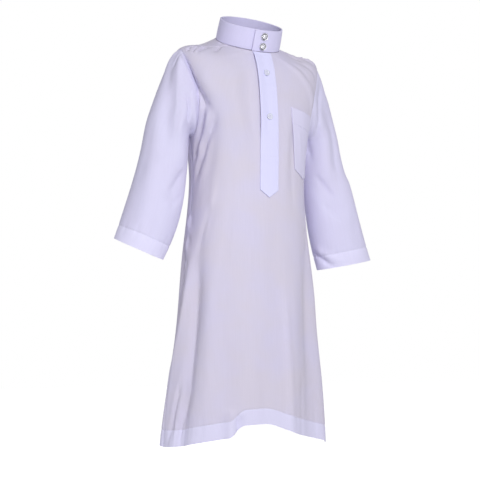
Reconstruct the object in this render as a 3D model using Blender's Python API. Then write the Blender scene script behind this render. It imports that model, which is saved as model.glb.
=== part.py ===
"""A child's thobe robe in its worn, hollow form: body, sleeves, collar, placket, pocket, studs and buttons.

Metres, +Z up. The front faces -Y and the wearer's right is -X. The origin is the centre of the neck opening's
seam, where the wearer's neck and shoulders hold the robe.

Each cloth piece is a wall between two grids of points. The body's grid comes from one surface, torso(), that
runs round the wearer by an angle and down the side by a distance. Angle 0 is the wearer's left side, 90 degrees
the front, 180 the right side and 270 the back. Folds push the cloth out along the surface's normal.
"""

import math

import bmesh
import bpy
import numpy as np

MM = 0.001
DEGREE = math.pi / 180

SEAM_GAP = 0.3 * MM
LAID_GAP = 0.4 * MM
BODY_WALL = 1.4 * MM
HEM_WALL = 2.4 * MM
HEM_HEIGHT = 29 * MM
CUFF_HEIGHT = 27 * MM
COLLAR_WALL = 2.4 * MM
COLLAR_HEIGHT = 38 * MM
COLLAR_TOP_DRAW_IN = 1.5 * MM
COLLAR_LEAN = 24 * DEGREE
COLLAR_LAP = 19 * MM
PLACKET_WIDTH = 36 * MM
PLACKET_LENGTH = 252 * MM
PLACKET_POINT = 13 * MM
PLACKET_WALL = 1.6 * MM
POCKET_WIDTH = 62 * MM
POCKET_HEIGHT = 110 * MM
POCKET_POINT = 9 * MM
POCKET_TILT = 0.2
POCKET_WALL = 1.2 * MM
POCKET_HEM = 28 * MM
POCKET_INNER_EDGE = 47 * MM
POCKET_TOP = -123 * MM
STUD_DIAMETER = 13.6 * MM
BUTTON_DIAMETER = 11.5 * MM

# The body's levels, from the neck seam down, in millimetres. square rounds a section out towards its corners,
# and round_over is 0 where the section is a flat ring and 1 where it rolls over the shoulder line.
TORSO_COLUMNS = (
    "side_x", "side_y", "side_z", "front_y", "front_z", "back_y", "back_z", "square", "round_over",
)
TORSO = {
    "neck": (59, 0, 0, -53.9, -24, 53.9, 24, 0.00, 0.0),
    "shoulder middle": (98, 1, -10, -65, -49, 70, 8, 0.04, 0.6),
    "shoulder point": (135, 3, -22, -74, -80, 81, -14, 0.08, 1.0),
    "armhole top": (138, 6, -52, -78, -110, 88, -48, 0.12, 1.0),
    "armhole middle": (130, 8, -94, -81, -140, 90, -92, 0.13, 1.0),
    "armhole low": (119, 9, -139, -82, -168, 87, -136, 0.14, 1.0),
    "underarm": (112, 10, -172, -82, -191, 83, -171, 0.14, 1.0),
    "waist": (106, 10, -262, -81, -268, 75, -262, 0.12, 1.0),
    "hip": (119, 10, -385, -82, -383, 82, -385, 0.08, 1.0),
    "knee": (132, 11, -530, -86, -520, 96, -526, 0.04, 1.0),
    "calf": (146, 12, -618, -87, -600, 105, -608, 0.02, 1.0),
    "hem": (158, 12, -721, -88, -699, 112, -698, 0.00, 1.0),
}

# The hem's front edge rises to one side of the middle, and its back hangs higher than its front.
HEM_LIFT = 17 * MM
HEM_LIFT_ANGLE = 97 * DEGREE
HEM_LIFT_SPREAD = 17 * DEGREE
HEM_LIFT_START = 600 * MM
BACK_HEM_RISE = 14 * MM
BACK_HEM_REACH = 0.5

SHOULDER_BRIDGE = 45 * MM
ARMHOLE_ANGLE = 31 * DEGREE
ARMHOLE_STEPS = 12

# Body folds, one row each: where the fold starts and ends round the body in degrees and down in millimetres
# from the neck's level, its half width and its depth in millimetres. A negative depth is a trough.
FOLD_COLUMNS = ("top_angle", "top_z", "bottom_angle", "bottom_z", "half_width", "depth")
BODY_FOLDS = {
    "main trough": (143, -340, 157, -740, 16, -8),
    "ridge beside it": (157, -360, 170, -740, 15, 6),
    "side trough": (169, -340, 183, -740, 14, -5),
    "left front ridge": (68, -400, 76, -740, 16, 6),
    "left front trough": (42, -300, 60, -740, 17, -7),
    "middle swell": (104, -430, 104, -740, 26, 4),
    "middle trough": (122, -520, 124, -740, 16, -4),
    "armpit trough, long": (132, -112, 161, -290, 13, -3),
    "armpit trough, middle": (141, -112, 153, -200, 9, -1.5),
    "armpit trough, short": (146, -90, 165, -250, 9, -2),
    "armpit trough, left": (19, -150, 10, -300, 11, -3),
    "left side ridge": (27, -340, 38, -740, 16, 6),
    "left side trough": (8, -340, 12, -740, 14, -6),
    "back middle trough": (272, -240, 268, -740, 20, -7),
    "back right ridge": (243, -260, 238, -740, 20, 8),
    "back right trough": (215, -330, 212, -740, 16, -7),
    "back left ridge": (300, -280, 305, -740, 20, 8),
    "back left trough": (325, -360, 330, -740, 16, -7),
}
FOLD_FADE = 0.35

# The sleeve's stations down the arm, in millimetres: its centre, outward of the body's middle, its half width
# across the arm seen from the front and its half depth; then, in degrees, how far the section's outer side is
# tipped up and its front side down.
SLEEVE_COLUMNS = ("out", "back", "z", "half_width", "half_depth", "tip", "front_drop")
SLEEVE_RIGHT = {
    "top": (155.6, 9, -165.9, 40, 40, 18, 0),
    "upper arm": (160, 9, -205, 42, 42, 15, 0),
    "elbow": (169, 8, -256, 46, 44, 15, 3),
    "forearm": (188, 7, -325, 49, 45, 19, 9),
    "cuff": (210.5, 6, -379, 46, 41, 20, 14),
}
SLEEVE_LEFT = {
    "top": (153.6, 9, -167, 38, 39, 18, 0),
    "upper arm": (158, 9, -207, 41, 40, 16, 0),
    "elbow": (171, 8, -262, 46, 40, 15, 0),
    "forearm": (188, 7, -331, 53, 38, 13, 0),
    "cuff": (207, 6, -389, 56, 34, 11, 0),
}
UNDERARM_HINGE = (109 * MM, -181 * MM)
CAP_STEPS = (0, 0.09, 0.2, 0.34, 0.5, 0.68, 0.85)
SLEEVE_STEPS = 15
SLEEVE_SMOOTHING = 2

# Sleeve folds: round the sleeve in degrees from its outer side towards the front, and along it from 0 at the
# armhole to 1 at the cuff, as the line's two ends; then half width and depth in millimetres.
SLEEVE_FOLD_COLUMNS = ("top_turn", "top_along", "bottom_turn", "bottom_along", "half_width", "depth")
SLEEVE_FOLDS = {
    "front trough": (60, 0.02, 72, 0.43, 16, -4),
    "front flap": (98, 0.1, 112, 0.45, 16, 3),
    "elbow trough": (125, 0.5, 98, 0.7, 16, -4),
    "forearm ridge": (45, 0.5, 65, 0.98, 18, 3),
    "back trough": (288, 0.05, 268, 0.5, 16, -4.5),
    "back elbow trough": (230, 0.5, 258, 0.72, 15, -4),
}
SLEEVE_FOLD_FADE = 0.09


def column(table, columns, name):
    """One named column of a table, as an array."""
    return np.array([row[columns.index(name)] for row in table.values()], float)


def spline(stations, values, at):
    """A natural cubic spline through values at the stations, read at the places in at."""
    step = np.diff(stations)
    count = len(stations)
    system = np.eye(count)
    right = np.zeros(count)
    for i in range(1, count - 1):
        system[i, i - 1 : i + 2] = step[i - 1], 2 * (step[i - 1] + step[i]), step[i]
        right[i] = 6 * ((values[i + 1] - values[i]) / step[i] - (values[i] - values[i - 1]) / step[i - 1])
    bend = np.linalg.solve(system, right)
    i = np.clip(np.searchsorted(stations, at) - 1, 0, count - 2)
    left = at - stations[i]
    rest = stations[i + 1] - at
    width = step[i]
    return (
        (bend[i] * rest**3 + bend[i + 1] * left**3) / (6 * width)
        + (values[i] / width - bend[i] * width / 6) * rest
        + (values[i + 1] / width - bend[i + 1] * width / 6) * left
    )


def distances(*axes):
    """How far each row of a table lies along the line through its rows."""
    steps = np.sqrt(sum(np.diff(axis) ** 2 for axis in axes))
    return np.concatenate([[0], np.cumsum(steps)])


TORSO_DOWN = MM * distances(
    *(column(TORSO, TORSO_COLUMNS, name) for name in ("side_x", "side_y", "side_z"))
)
TORSO_LEVELS = list(TORSO)
SHOULDER_DOWN = TORSO_DOWN[TORSO_LEVELS.index("shoulder point")]
UNDERARM_DOWN = TORSO_DOWN[TORSO_LEVELS.index("underarm")]
HEM_DOWN = TORSO_DOWN[-1]


def bell(distance):
    """A smooth hump, 1 at distance 0 and near 0 from 2 on."""
    return np.exp(-(distance**2))


def ramp(value):
    """0 below 0, 1 above 1 and smooth between."""
    value = np.clip(value, 0, 1)
    return value * value * (3 - 2 * value)


def torso_frame(angle, down):
    """The body's levels joined up: a point at an angle round the wearer and a distance down the side."""
    level = {
        name: spline(TORSO_DOWN, column(TORSO, TORSO_COLUMNS, name), down) for name in TORSO_COLUMNS
    }
    across = np.cos(angle)
    along = np.abs(np.sin(angle))
    front = np.sin(angle) > 0
    end_y = np.where(front, level["front_y"], level["back_y"])
    end_z = np.where(front, level["front_z"], level["back_z"])
    square = level["square"]
    over = np.clip(level["round_over"], 0, 1)
    x = level["side_x"] * across * (1 + square * along**2)
    y = level["side_y"] + (end_y - level["side_y"]) * along * (1 + square * across**2)
    z = level["side_z"] + (end_z - level["side_z"]) * (over * along**2 + (1 - over) * along)
    near_hem = ramp((down - HEM_LIFT_START) / (HEM_DOWN - HEM_LIFT_START))
    lift = HEM_LIFT * bell((angle - HEM_LIFT_ANGLE) / HEM_LIFT_SPREAD)
    lift = lift + BACK_HEM_RISE * ramp(-np.sin(angle) / BACK_HEM_REACH)
    return np.stack([x * MM, y * MM, z * MM + lift * near_hem], axis=-1)


def torso(angle, down):
    """The body cloth's smooth surface.

    The levels meet in a corner along the shoulder line. Away from that line the cloth bridges the corner, so
    each point there is the weighted mean of five points of the frame, up and down from its own place.
    """
    reach = SHOULDER_BRIDGE * np.sin(angle) ** 2 * ramp(down / SHOULDER_DOWN)
    point = 0
    for weight, step in zip((1, 4, 6, 4, 1), (-1, -0.5, 0, 0.5, 1)):
        point = point + weight / 16 * torso_frame(angle, down + step * reach)
    return point


def unit(vectors):
    """The vectors at length 1."""
    return vectors / np.linalg.norm(vectors, axis=-1, keepdims=True)


def normals_of(surface, angle, down):
    """Outward normals of a surface of angle and down, from points a little to each side."""
    small_angle = 0.002
    small_down = 0.2 * MM
    round_step = surface(angle + small_angle, down) - surface(angle - small_angle, down)
    down_step = surface(angle, down + small_down) - surface(angle, down - small_down)
    return unit(np.cross(round_step, down_step))


def fold_depth(angle, point):
    """How far the body's folds push the cloth out, in metres, at points of the smooth surface."""
    radius = np.hypot(point[..., 0], point[..., 1])
    height = point[..., 2]
    push = np.zeros(np.shape(angle))
    turn = np.mod(angle, 2 * math.pi)
    for row in BODY_FOLDS.values():
        fold = dict(zip(FOLD_COLUMNS, row))
        top = fold["top_z"] * MM
        bottom = fold["bottom_z"] * MM
        share = (top - height) / (top - bottom)
        centre = DEGREE * (fold["top_angle"] + share * (fold["bottom_angle"] - fold["top_angle"]))
        side = (turn - centre) * radius / (fold["half_width"] * MM)
        ends = ramp(share / FOLD_FADE)
        if bottom > TORSO["hem"][2] * MM:
            ends = ends * ramp((1 - share) / FOLD_FADE)
        push = push + fold["depth"] * MM * bell(side) * ends
    return push


def body_cloth(angle, down):
    """The body cloth's outer surface, with its folds."""
    point = torso(angle, down)
    return point + normals_of(torso, angle, down) * fold_depth(angle, point)[..., None]


def material(name, colour, roughness, metallic=0.0):
    """A plain Principled material."""
    made = bpy.data.materials.new(name)
    made.use_nodes = True
    shader = made.node_tree.nodes["Principled BSDF"]
    shader.inputs["Base Color"].default_value = (*colour, 1)
    shader.inputs["Roughness"].default_value = roughness
    shader.inputs["Metallic"].default_value = metallic
    return made


def add_object(name, points, faces, surface):
    """One closed solid from its points and faces, with its faces turned outward."""
    mesh = bpy.data.meshes.new(name)
    mesh.from_pydata([tuple(point) for point in points], [], [tuple(face) for face in faces])
    shape = bmesh.new()
    shape.from_mesh(mesh)
    bmesh.ops.recalc_face_normals(shape, faces=shape.faces)
    shape.to_mesh(mesh)
    shape.free()
    mesh.shade_smooth()
    mesh.set_sharp_from_angle(angle=40 * DEGREE)
    mesh.materials.append(surface)
    made = bpy.data.objects.new(name, mesh)
    bpy.context.scene.collection.objects.link(made)
    return made


def grid_faces(ids, closed):
    """Quads between neighbouring points of a grid of point numbers."""
    if closed:
        ids = np.concatenate([ids, ids[:, :1]], axis=1)
    corners = np.stack([ids[:-1, :-1], ids[:-1, 1:], ids[1:, 1:], ids[1:, :-1]], axis=-1)
    return corners.reshape(-1, 4)


def wall(name, outer, inner, surface, closed=False):
    """A cloth wall between an outer and an inner grid of points, closed round a sleeve or open at its sides."""
    rows, columns = outer.shape[:2]
    outer_ids = np.arange(rows * columns).reshape(rows, columns)
    inner_ids = outer_ids + rows * columns
    faces = [grid_faces(outer_ids, closed), grid_faces(inner_ids, closed)[:, ::-1]]
    for end in (0, -1):
        faces.append(grid_faces(np.stack([outer_ids[end], inner_ids[end]]), closed))
    if not closed:
        for side in (0, -1):
            faces.append(grid_faces(np.stack([outer_ids[:, side], inner_ids[:, side]]), False))
    points = np.concatenate([outer.reshape(-1, 3), inner.reshape(-1, 3)])
    return add_object(name, points, np.concatenate(faces), surface)


def armhole_angle(down):
    """How far round from the side the armhole's edge lies at a distance down, 0 outside the armhole."""
    middle = (SHOULDER_DOWN + UNDERARM_DOWN) / 2
    half = (UNDERARM_DOWN - SHOULDER_DOWN) / 2
    height = np.clip((down - middle) / half, -1, 1)
    return ARMHOLE_ANGLE * np.sqrt(1 - height**2)


def armhole_down(turn):
    """The distance down the side at a turn round the armhole, 0 at its top and pi at the underarm."""
    return (SHOULDER_DOWN + UNDERARM_DOWN) / 2 - (UNDERARM_DOWN - SHOULDER_DOWN) / 2 * np.cos(turn)


def body_rows():
    """Distances down the side of the body's rows, with the armhole's rows spaced as the sleeve's points are."""
    shoulder = np.linspace(0, SHOULDER_DOWN, 4)[:-1]
    armhole = armhole_down(np.linspace(0, math.pi, ARMHOLE_STEPS + 1))
    skirt = np.linspace(UNDERARM_DOWN, HEM_DOWN - HEM_HEIGHT, 17)[1:]
    hem = np.array([HEM_DOWN - HEM_HEIGHT + 2 * MM, HEM_DOWN])
    return np.concatenate([shoulder, armhole, skirt, hem])


def body_wall(down):
    """The body wall's thickness, doubled inside at the hem."""
    return np.where(down > HEM_DOWN - HEM_HEIGHT + MM, HEM_WALL, BODY_WALL)


def body_panel(name, start, columns, surface):
    """The front or the back: from one side seam and armhole to the other, a half turn from start."""
    rows = body_rows()
    side_reach = np.linalg.norm(
        torso(np.full(len(rows), 0.001), rows) - torso(np.full(len(rows), -0.001), rows), axis=-1
    )
    seam = SEAM_GAP / 2 / (side_reach / 0.002)
    edge = np.maximum(seam, armhole_angle(rows))
    share = np.linspace(0, 1, columns + 1)
    angle = start + edge[:, None] + share * (math.pi - 2 * edge[:, None])
    down = np.repeat(rows[:, None], columns + 1, axis=1)
    outer = body_cloth(angle, down)
    inner = outer - normals_of(body_cloth, angle, down) * body_wall(down)[..., None]
    return wall(name, outer, inner, surface)


def armhole_ring(side):
    """The sleeve's first ring and its normals: the armhole's edge, a seam's gap inside the hole."""
    turn = np.arange(2 * ARMHOLE_STEPS) * math.pi / ARMHOLE_STEPS

    def edge(at):
        angle = ARMHOLE_ANGLE * np.sin(at)
        return (angle if side > 0 else math.pi - angle), armhole_down(at)

    point = body_cloth(*edge(turn))
    normal = normals_of(body_cloth, *edge(turn))
    along = unit(body_cloth(*edge(turn + 0.01)) - body_cloth(*edge(turn - 0.01)))
    inward = unit(np.cross(normal, along))
    middle = point.mean(axis=0)
    inward *= np.sign(np.sum(inward * (middle - point), axis=-1))[:, None]
    return turn, point + inward * SEAM_GAP, normal


def sleeve_rings(side, table):
    """The sleeve's smooth rings: a cap that turns about the underarm, then stations down the arm."""
    turn, first, first_normal = armhole_ring(side)
    out = first[:, 0] * side
    hinge_x, hinge_z = UNDERARM_HINGE
    start_reach = np.hypot(out - hinge_x, first[:, 2] - hinge_z)
    start_tip = np.arctan2(out - hinge_x, first[:, 2] - hinge_z)
    top = dict(zip(SLEEVE_COLUMNS, table["top"]))
    end_reach = math.hypot(top["out"] * MM - hinge_x, top["z"] * MM - hinge_z)
    end_reach = end_reach + top["half_width"] * MM * np.cos(turn)
    end_tip = math.pi / 2 - top["tip"] * DEGREE
    end_y = top["back"] * MM - top["half_depth"] * MM * np.sin(turn)
    rings = []
    for share in CAP_STEPS:
        drawn = 1 - (1 - share) ** 2.5
        tip = start_tip + (end_tip - start_tip) * share
        reach = start_reach + (end_reach - start_reach) * drawn
        y = first[:, 1] + (end_y - first[:, 1]) * drawn
        rings.append(
            np.stack([(hinge_x + reach * np.sin(tip)) * side, y, hinge_z + reach * np.cos(tip)], axis=-1)
        )
    stations = distances(*(column(table, SLEEVE_COLUMNS, name) for name in ("out", "back", "z")))
    cuff_start = stations[-1] - CUFF_HEIGHT / MM
    places = np.concatenate(
        [np.linspace(0, cuff_start, SLEEVE_STEPS - 1), [cuff_start + 2, stations[-1]]]
    )
    for place in places:
        at = {
            name: float(spline(stations, column(table, SLEEVE_COLUMNS, name), np.array(place)))
            for name in SLEEVE_COLUMNS
        }
        tip = at["tip"] * DEGREE
        width = at["half_width"] * np.cos(turn)
        depth = at["half_depth"] * np.sin(turn)
        drop = at["front_drop"] * DEGREE
        rings.append(
            MM
            * np.stack(
                [
                    (at["out"] + width * math.cos(tip)) * side,
                    at["back"] - depth * math.cos(drop),
                    at["z"] + width * math.sin(tip) - depth * math.sin(drop),
                ],
                axis=-1,
            )
        )
    rings = np.array(rings)
    for _ in range(SLEEVE_SMOOTHING):
        rings[2:-3] = (rings[1:-4] + 2 * rings[2:-3] + rings[3:-2]) / 4
    return turn, rings, first_normal


def ring_normals(rings, side):
    """Outward normals of a closed tube's grid of points."""
    round_step = np.roll(rings, -1, axis=1) - np.roll(rings, 1, axis=1)
    down_step = np.gradient(rings, axis=0)
    return unit(np.cross(round_step, down_step)) * side


def sleeve(name, side, table, surface):
    """A set-in sleeve with its folds and a turned-up cuff edge."""
    turn, rings, first_normal = sleeve_rings(side, table)
    count = len(rings)
    centres = rings.mean(axis=1)
    along = distances(*centres.T)
    along = np.repeat((along / along[-1])[:, None], len(turn), axis=1)
    radius = np.linalg.norm(rings - centres[:, None], axis=-1)
    push = np.zeros(radius.shape)
    for row in SLEEVE_FOLDS.values():
        fold = dict(zip(SLEEVE_FOLD_COLUMNS, row))
        length = fold["bottom_along"] - fold["top_along"]
        share = (along - fold["top_along"]) / length
        centre = fold["top_turn"] + np.clip(share, 0, 1) * (fold["bottom_turn"] - fold["top_turn"])
        gap = np.mod(turn / DEGREE - centre + 180, 360) - 180
        ends = ramp((along - fold["top_along"]) / SLEEVE_FOLD_FADE + 0.5)
        ends = ends * ramp((fold["bottom_along"] - along) / SLEEVE_FOLD_FADE + 0.5)
        push = push + fold["depth"] * bell(gap * DEGREE * radius / (fold["half_width"] * MM)) * ends
    push[0] = 0
    outer = rings + ring_normals(rings, side) * push[..., None] * MM
    normal = ring_normals(outer, side)
    normal[0] = first_normal
    thickness = np.full((count, 1, 1), BODY_WALL)
    thickness[-2:] = HEM_WALL
    return wall(name, outer, outer - normal * thickness, surface, closed=True)


def neck_frame():
    """The neck ring's directions: towards the front within its plane, and up along the collar."""
    forward = np.array([0, -math.cos(COLLAR_LEAN), -math.sin(COLLAR_LEAN)])
    up = np.array([0, -math.sin(COLLAR_LEAN), math.cos(COLLAR_LEAN)])
    return forward, up


def collar_point(angle, height, inset):
    """A point of the collar's outer face, drawn in towards the top and by the inset."""
    forward, up = neck_frame()
    radius = TORSO["neck"][0] * MM - inset - COLLAR_TOP_DRAW_IN * height / COLLAR_HEIGHT
    across = np.stack([np.cos(angle), np.zeros_like(angle), np.zeros_like(angle)], axis=-1)
    return (
        radius[..., None] * (across + np.sin(angle)[..., None] * forward)
        + (height + SEAM_GAP)[..., None] * up
    )


def collar(surface):
    """The stand collar: a stiff band round the neck whose outer end laps over its inner end."""
    lap = COLLAR_LAP / (TORSO["neck"][0] * MM)
    outer_end = math.pi / 2 + lap
    inner_end = math.pi / 2 - lap - 2 * math.pi
    angle = np.linspace(outer_end, inner_end, 53)
    tuck = (COLLAR_WALL + SEAM_GAP) * ramp((-1.05 * math.pi - angle) / (0.25 * math.pi))
    height = np.linspace(0, COLLAR_HEIGHT, 3)
    angle, height = np.meshgrid(angle, height)
    outer = collar_point(angle, height, tuck)
    inner = collar_point(angle, height, tuck + COLLAR_WALL)
    return wall("collar", outer, inner, surface)


def front_down(length):
    """The distance down the side of the level that lies this far down the front's middle line."""
    down = np.linspace(0, HEM_DOWN, 400)
    line = torso(np.full(400, math.pi / 2), down)
    return np.interp(length, distances(*line.T), down)


def round_front(across, down):
    """The angle of the front's point that lies across from the middle, measured along the cloth.

    A positive across runs to the wearer's left. The cloth's length round the section is added up in small
    steps from the middle, and the angle is read where that length reaches across.
    """
    steps = np.linspace(0, math.pi / 2, 91)
    side = np.where(across < 0, -1, 1)
    line = torso(math.pi / 2 - side[..., None] * steps, down[..., None] + 0 * steps)
    pieces = np.linalg.norm(np.diff(line, axis=-2), axis=-1)
    reached = np.concatenate([0 * pieces[..., :1], np.cumsum(pieces, axis=-1)], axis=-1)
    target = np.abs(across)[..., None]
    last = np.clip(np.sum(reached < target, axis=-1, keepdims=True), 1, len(steps) - 1)
    after = np.take_along_axis(reached, last, axis=-1)
    before = np.take_along_axis(reached, last - 1, axis=-1)
    place = (last - 1 + (target - before) / (after - before)) * steps[1]
    return math.pi / 2 - side * place[..., 0]


def at_height(across, height):
    """Angle and down of the front's points that lie across from the middle and at a height."""
    down = front_down(-height)
    for _ in range(8):
        angle = round_front(across, down)
        down = down + torso(angle, down)[..., 2] - height
    return angle, down


def laid_on(name, angle, down, thickness, surface):
    """A piece that lies on the front: a grid of the front's points, moved out."""
    normal = normals_of(body_cloth, angle, down)
    inner = body_cloth(angle, down) + normal * LAID_GAP
    return wall(name, inner + normal * thickness[..., None], inner, surface)


def placket(surface):
    """The button strip down the front's middle, with a pointed lower end."""
    share_across, share_down = np.meshgrid(np.linspace(-1, 1, 7), np.linspace(0, 1, 20))
    across = -share_across * PLACKET_WIDTH / 2
    start = 2 * MM
    length = start + share_down * (PLACKET_LENGTH + PLACKET_POINT * (1 - np.abs(share_across)))
    down = front_down(length)
    thickness = np.full(across.shape, PLACKET_WALL)
    return laid_on("placket", round_front(across, down), down, thickness, surface)


def chest_pocket(surface):
    """The patch pocket on the wearer's left breast: a thicker top hem, a pointed lower edge, a little tilt."""
    patch = np.linspace(POCKET_HEM + MM, POCKET_HEIGHT, 8)
    rows = np.concatenate([[0, POCKET_HEM - MM], patch])
    share_across, row = np.meshgrid(np.linspace(0, 1, 9), rows)
    across = POCKET_INNER_EDGE + share_across * POCKET_WIDTH
    point = POCKET_POINT * (1 - np.abs(2 * share_across - 1)) * row / POCKET_HEIGHT
    height = POCKET_TOP - row - point - POCKET_TILT * share_across * POCKET_WIDTH
    thickness = np.where(row < POCKET_HEM, POCKET_WALL + 0.6 * MM, POCKET_WALL)
    return laid_on("chest_pocket", *at_height(across, height), thickness, surface)


def turned(name, profile, centre, axis, surface, sides=20):
    """A round piece from its profile of radius and height, first and last on the axis."""
    helper = np.array([1.0, 0, 0])
    first = unit(helper - axis * np.dot(helper, axis))
    second = np.cross(axis, first)
    turn = np.arange(sides) * 2 * math.pi / sides
    circle = np.cos(turn)[:, None] * first + np.sin(turn)[:, None] * second
    points = [centre + axis * profile[0][1]]
    for radius, height in profile[1:-1]:
        points.extend(centre + circle * radius + axis * height)
    points.append(centre + axis * profile[-1][1])
    rings = np.arange(sides * (len(profile) - 2)).reshape(-1, sides) + 1
    faces = [tuple(face) for face in grid_faces(rings, True)]
    following = np.roll(rings, -1, axis=1)
    faces += [(0, b, a) for a, b in zip(rings[0], following[0])]
    faces += [(len(points) - 1, a, b) for a, b in zip(rings[-1], following[-1])]
    return add_object(name, points, faces, surface)


def stud_profile():
    """A snap stud's cap: a low dome inside a raised rim."""
    radius = STUD_DIAMETER / 2
    return (
        (0, 0),
        (radius * 0.86, 0),
        (radius, 0.8 * MM),
        (radius * 0.94, 1.9 * MM),
        (radius * 0.8, 1.6 * MM),
        (radius * 0.45, 2.5 * MM),
        (0, 2.9 * MM),
    )


def button_profile():
    """A flat button with a raised rim round a dished middle."""
    radius = BUTTON_DIAMETER / 2
    return (
        (0, 0),
        (radius * 0.85, 0),
        (radius, 0.9 * MM),
        (radius * 0.92, 2.1 * MM),
        (radius * 0.76, 2.2 * MM),
        (radius * 0.55, 1.6 * MM),
        (0, 1.6 * MM),
    )


STUD_HEIGHTS = {"collar_stud_upper": 27.5 * MM, "collar_stud_lower": 9.5 * MM}
BUTTON_LENGTHS = {"placket_button_upper": 43 * MM, "placket_button_lower": 121 * MM}


def fasteners(metal, plastic):
    """The collar's studs and the placket's buttons, each on its cloth's face."""
    for name, height in STUD_HEIGHTS.items():
        middle = np.array(math.pi / 2)
        centre = collar_point(middle, np.array(height), np.array(0.0))
        forward, up = neck_frame()
        axis = unit(forward + up * COLLAR_TOP_DRAW_IN / COLLAR_HEIGHT)
        turned(name, stud_profile(), centre + axis * SEAM_GAP, axis, metal)
    for name, length in BUTTON_LENGTHS.items():
        angle, down = np.array(math.pi / 2), front_down(length)
        axis = normals_of(body_cloth, angle, down)
        centre = body_cloth(angle, down) + axis * (LAID_GAP + PLACKET_WALL + SEAM_GAP)
        turned(name, button_profile(), centre, axis, plastic)


for old in list(bpy.data.objects):
    bpy.data.objects.remove(old)

CLOTH = material("cloth", (0.80, 0.77, 0.87), 0.8)
DOUBLED = material("doubled cloth", (0.86, 0.85, 0.95), 0.8)
METAL = material("stud metal", (0.62, 0.62, 0.66), 0.3, 1.0)
PLASTIC = material("button plastic", (0.84, 0.85, 0.92), 0.25)

body_panel("front", 0, 34, CLOTH)
body_panel("back", math.pi, 24, CLOTH)
sleeve("sleeve_right", -1, SLEEVE_RIGHT, CLOTH)
sleeve("sleeve_left", 1, SLEEVE_LEFT, CLOTH)
collar(DOUBLED)
placket(DOUBLED)
chest_pocket(DOUBLED)
fasteners(METAL, PLASTIC)
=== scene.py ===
"""A child's thobe robe, worn and hollow, dressed over its CAD frame.

Metres, +Z up. The front faces -Y and the wearer's right is -X. The origin is the centre of the neck seam.
"""

import math

import bmesh
import bpy
import numpy as np
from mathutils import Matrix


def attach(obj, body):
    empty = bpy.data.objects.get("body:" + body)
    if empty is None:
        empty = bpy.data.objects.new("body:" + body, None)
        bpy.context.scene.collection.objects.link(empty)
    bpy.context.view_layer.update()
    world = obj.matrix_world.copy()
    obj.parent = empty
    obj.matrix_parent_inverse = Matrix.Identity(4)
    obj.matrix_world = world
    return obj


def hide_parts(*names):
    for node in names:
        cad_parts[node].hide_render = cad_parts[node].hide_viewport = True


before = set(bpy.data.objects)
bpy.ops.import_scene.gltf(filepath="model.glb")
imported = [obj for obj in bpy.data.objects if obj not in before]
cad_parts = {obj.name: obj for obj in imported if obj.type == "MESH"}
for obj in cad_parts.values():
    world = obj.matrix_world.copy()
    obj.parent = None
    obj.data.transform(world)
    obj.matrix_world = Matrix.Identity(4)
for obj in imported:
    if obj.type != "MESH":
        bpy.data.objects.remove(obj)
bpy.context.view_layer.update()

# Front and back
# The two body panels of a thobe: white cotton and polyester poplin, one layer, cut flaring to the hem and
# sewn together at the shoulders and sides. The hem is turned up inside and stitched in one row.

MM = 0.001
DEGREE = math.pi / 180
SEAM_GAP = 0.3 * MM
SEAM_SINK = 0.9 * MM
SEAM_WIDTH = 2.6 * MM
NECK_SINK = 0.35
LAYER = 0.7 * MM
HEM_LAYERS = 1.6 * MM
HEM_HEIGHT = 29 * MM
STITCH_SINK = 0.7 * MM
STITCH_DIP = 1.6 * MM

# The body's levels, from the neck seam down, in millimetres. square rounds a section out towards its corners,
# and round_over is 0 where the section is a flat ring and 1 where it rolls over the shoulder line.
TORSO_COLUMNS = (
    "side_x", "side_y", "side_z", "front_y", "front_z", "back_y", "back_z", "square", "round_over",
)
TORSO = {
    "neck": (59, 0, 0, -53.9, -24, 53.9, 24, 0.00, 0.0),
    "shoulder middle": (98, 1, -10, -65, -49, 70, 8, 0.04, 0.6),
    "shoulder point": (135, 3, -22, -74, -80, 81, -14, 0.08, 1.0),
    "armhole top": (138, 6, -52, -78, -110, 88, -48, 0.12, 1.0),
    "armhole middle": (130, 8, -94, -81, -140, 90, -92, 0.13, 1.0),
    "armhole low": (119, 9, -139, -82, -168, 87, -136, 0.14, 1.0),
    "underarm": (112, 10, -172, -82, -191, 83, -171, 0.14, 1.0),
    "waist": (106, 10, -262, -81, -268, 75, -262, 0.12, 1.0),
    "hip": (119, 10, -385, -82, -383, 82, -385, 0.08, 1.0),
    "knee": (132, 11, -530, -86, -520, 96, -526, 0.04, 1.0),
    "calf": (146, 12, -618, -87, -600, 105, -608, 0.02, 1.0),
    "hem": (158, 12, -721, -88, -699, 112, -698, 0.00, 1.0),
}
HEM_LIFT = 19 * MM
HEM_LIFT_ANGLE = 95 * DEGREE
HEM_LIFT_SPREAD = 17 * DEGREE
HEM_STEP_ANGLE = 119 * DEGREE
HEM_STEP_WIDTH = 11 * DEGREE
HEM_LIFT_START = 600 * MM
# The hem's dip and rise at the wearer's left: degrees round the body, spread in degrees and lift in mm.
SIDE_HEM_SHIFTS = ((30, 14, -4), (4, 16, 12))
BACK_HEM_RISE = 14 * MM
BACK_HEM_REACH = 0.5
SHOULDER_BRIDGE = 45 * MM
ARMHOLE_ROWS = 72
EDGE_SHARES = (0, 0.0025, 0.006, 0.011, 0.018)

# How far round from the side the armholes reach: the robe is worn turned a little towards the wearer's right.
ARMHOLE_REACH = {
    "left front": 38 * DEGREE,
    "left back": 26 * DEGREE,
    "right front": 25 * DEGREE,
    "right back": 36 * DEGREE,
}

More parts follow.
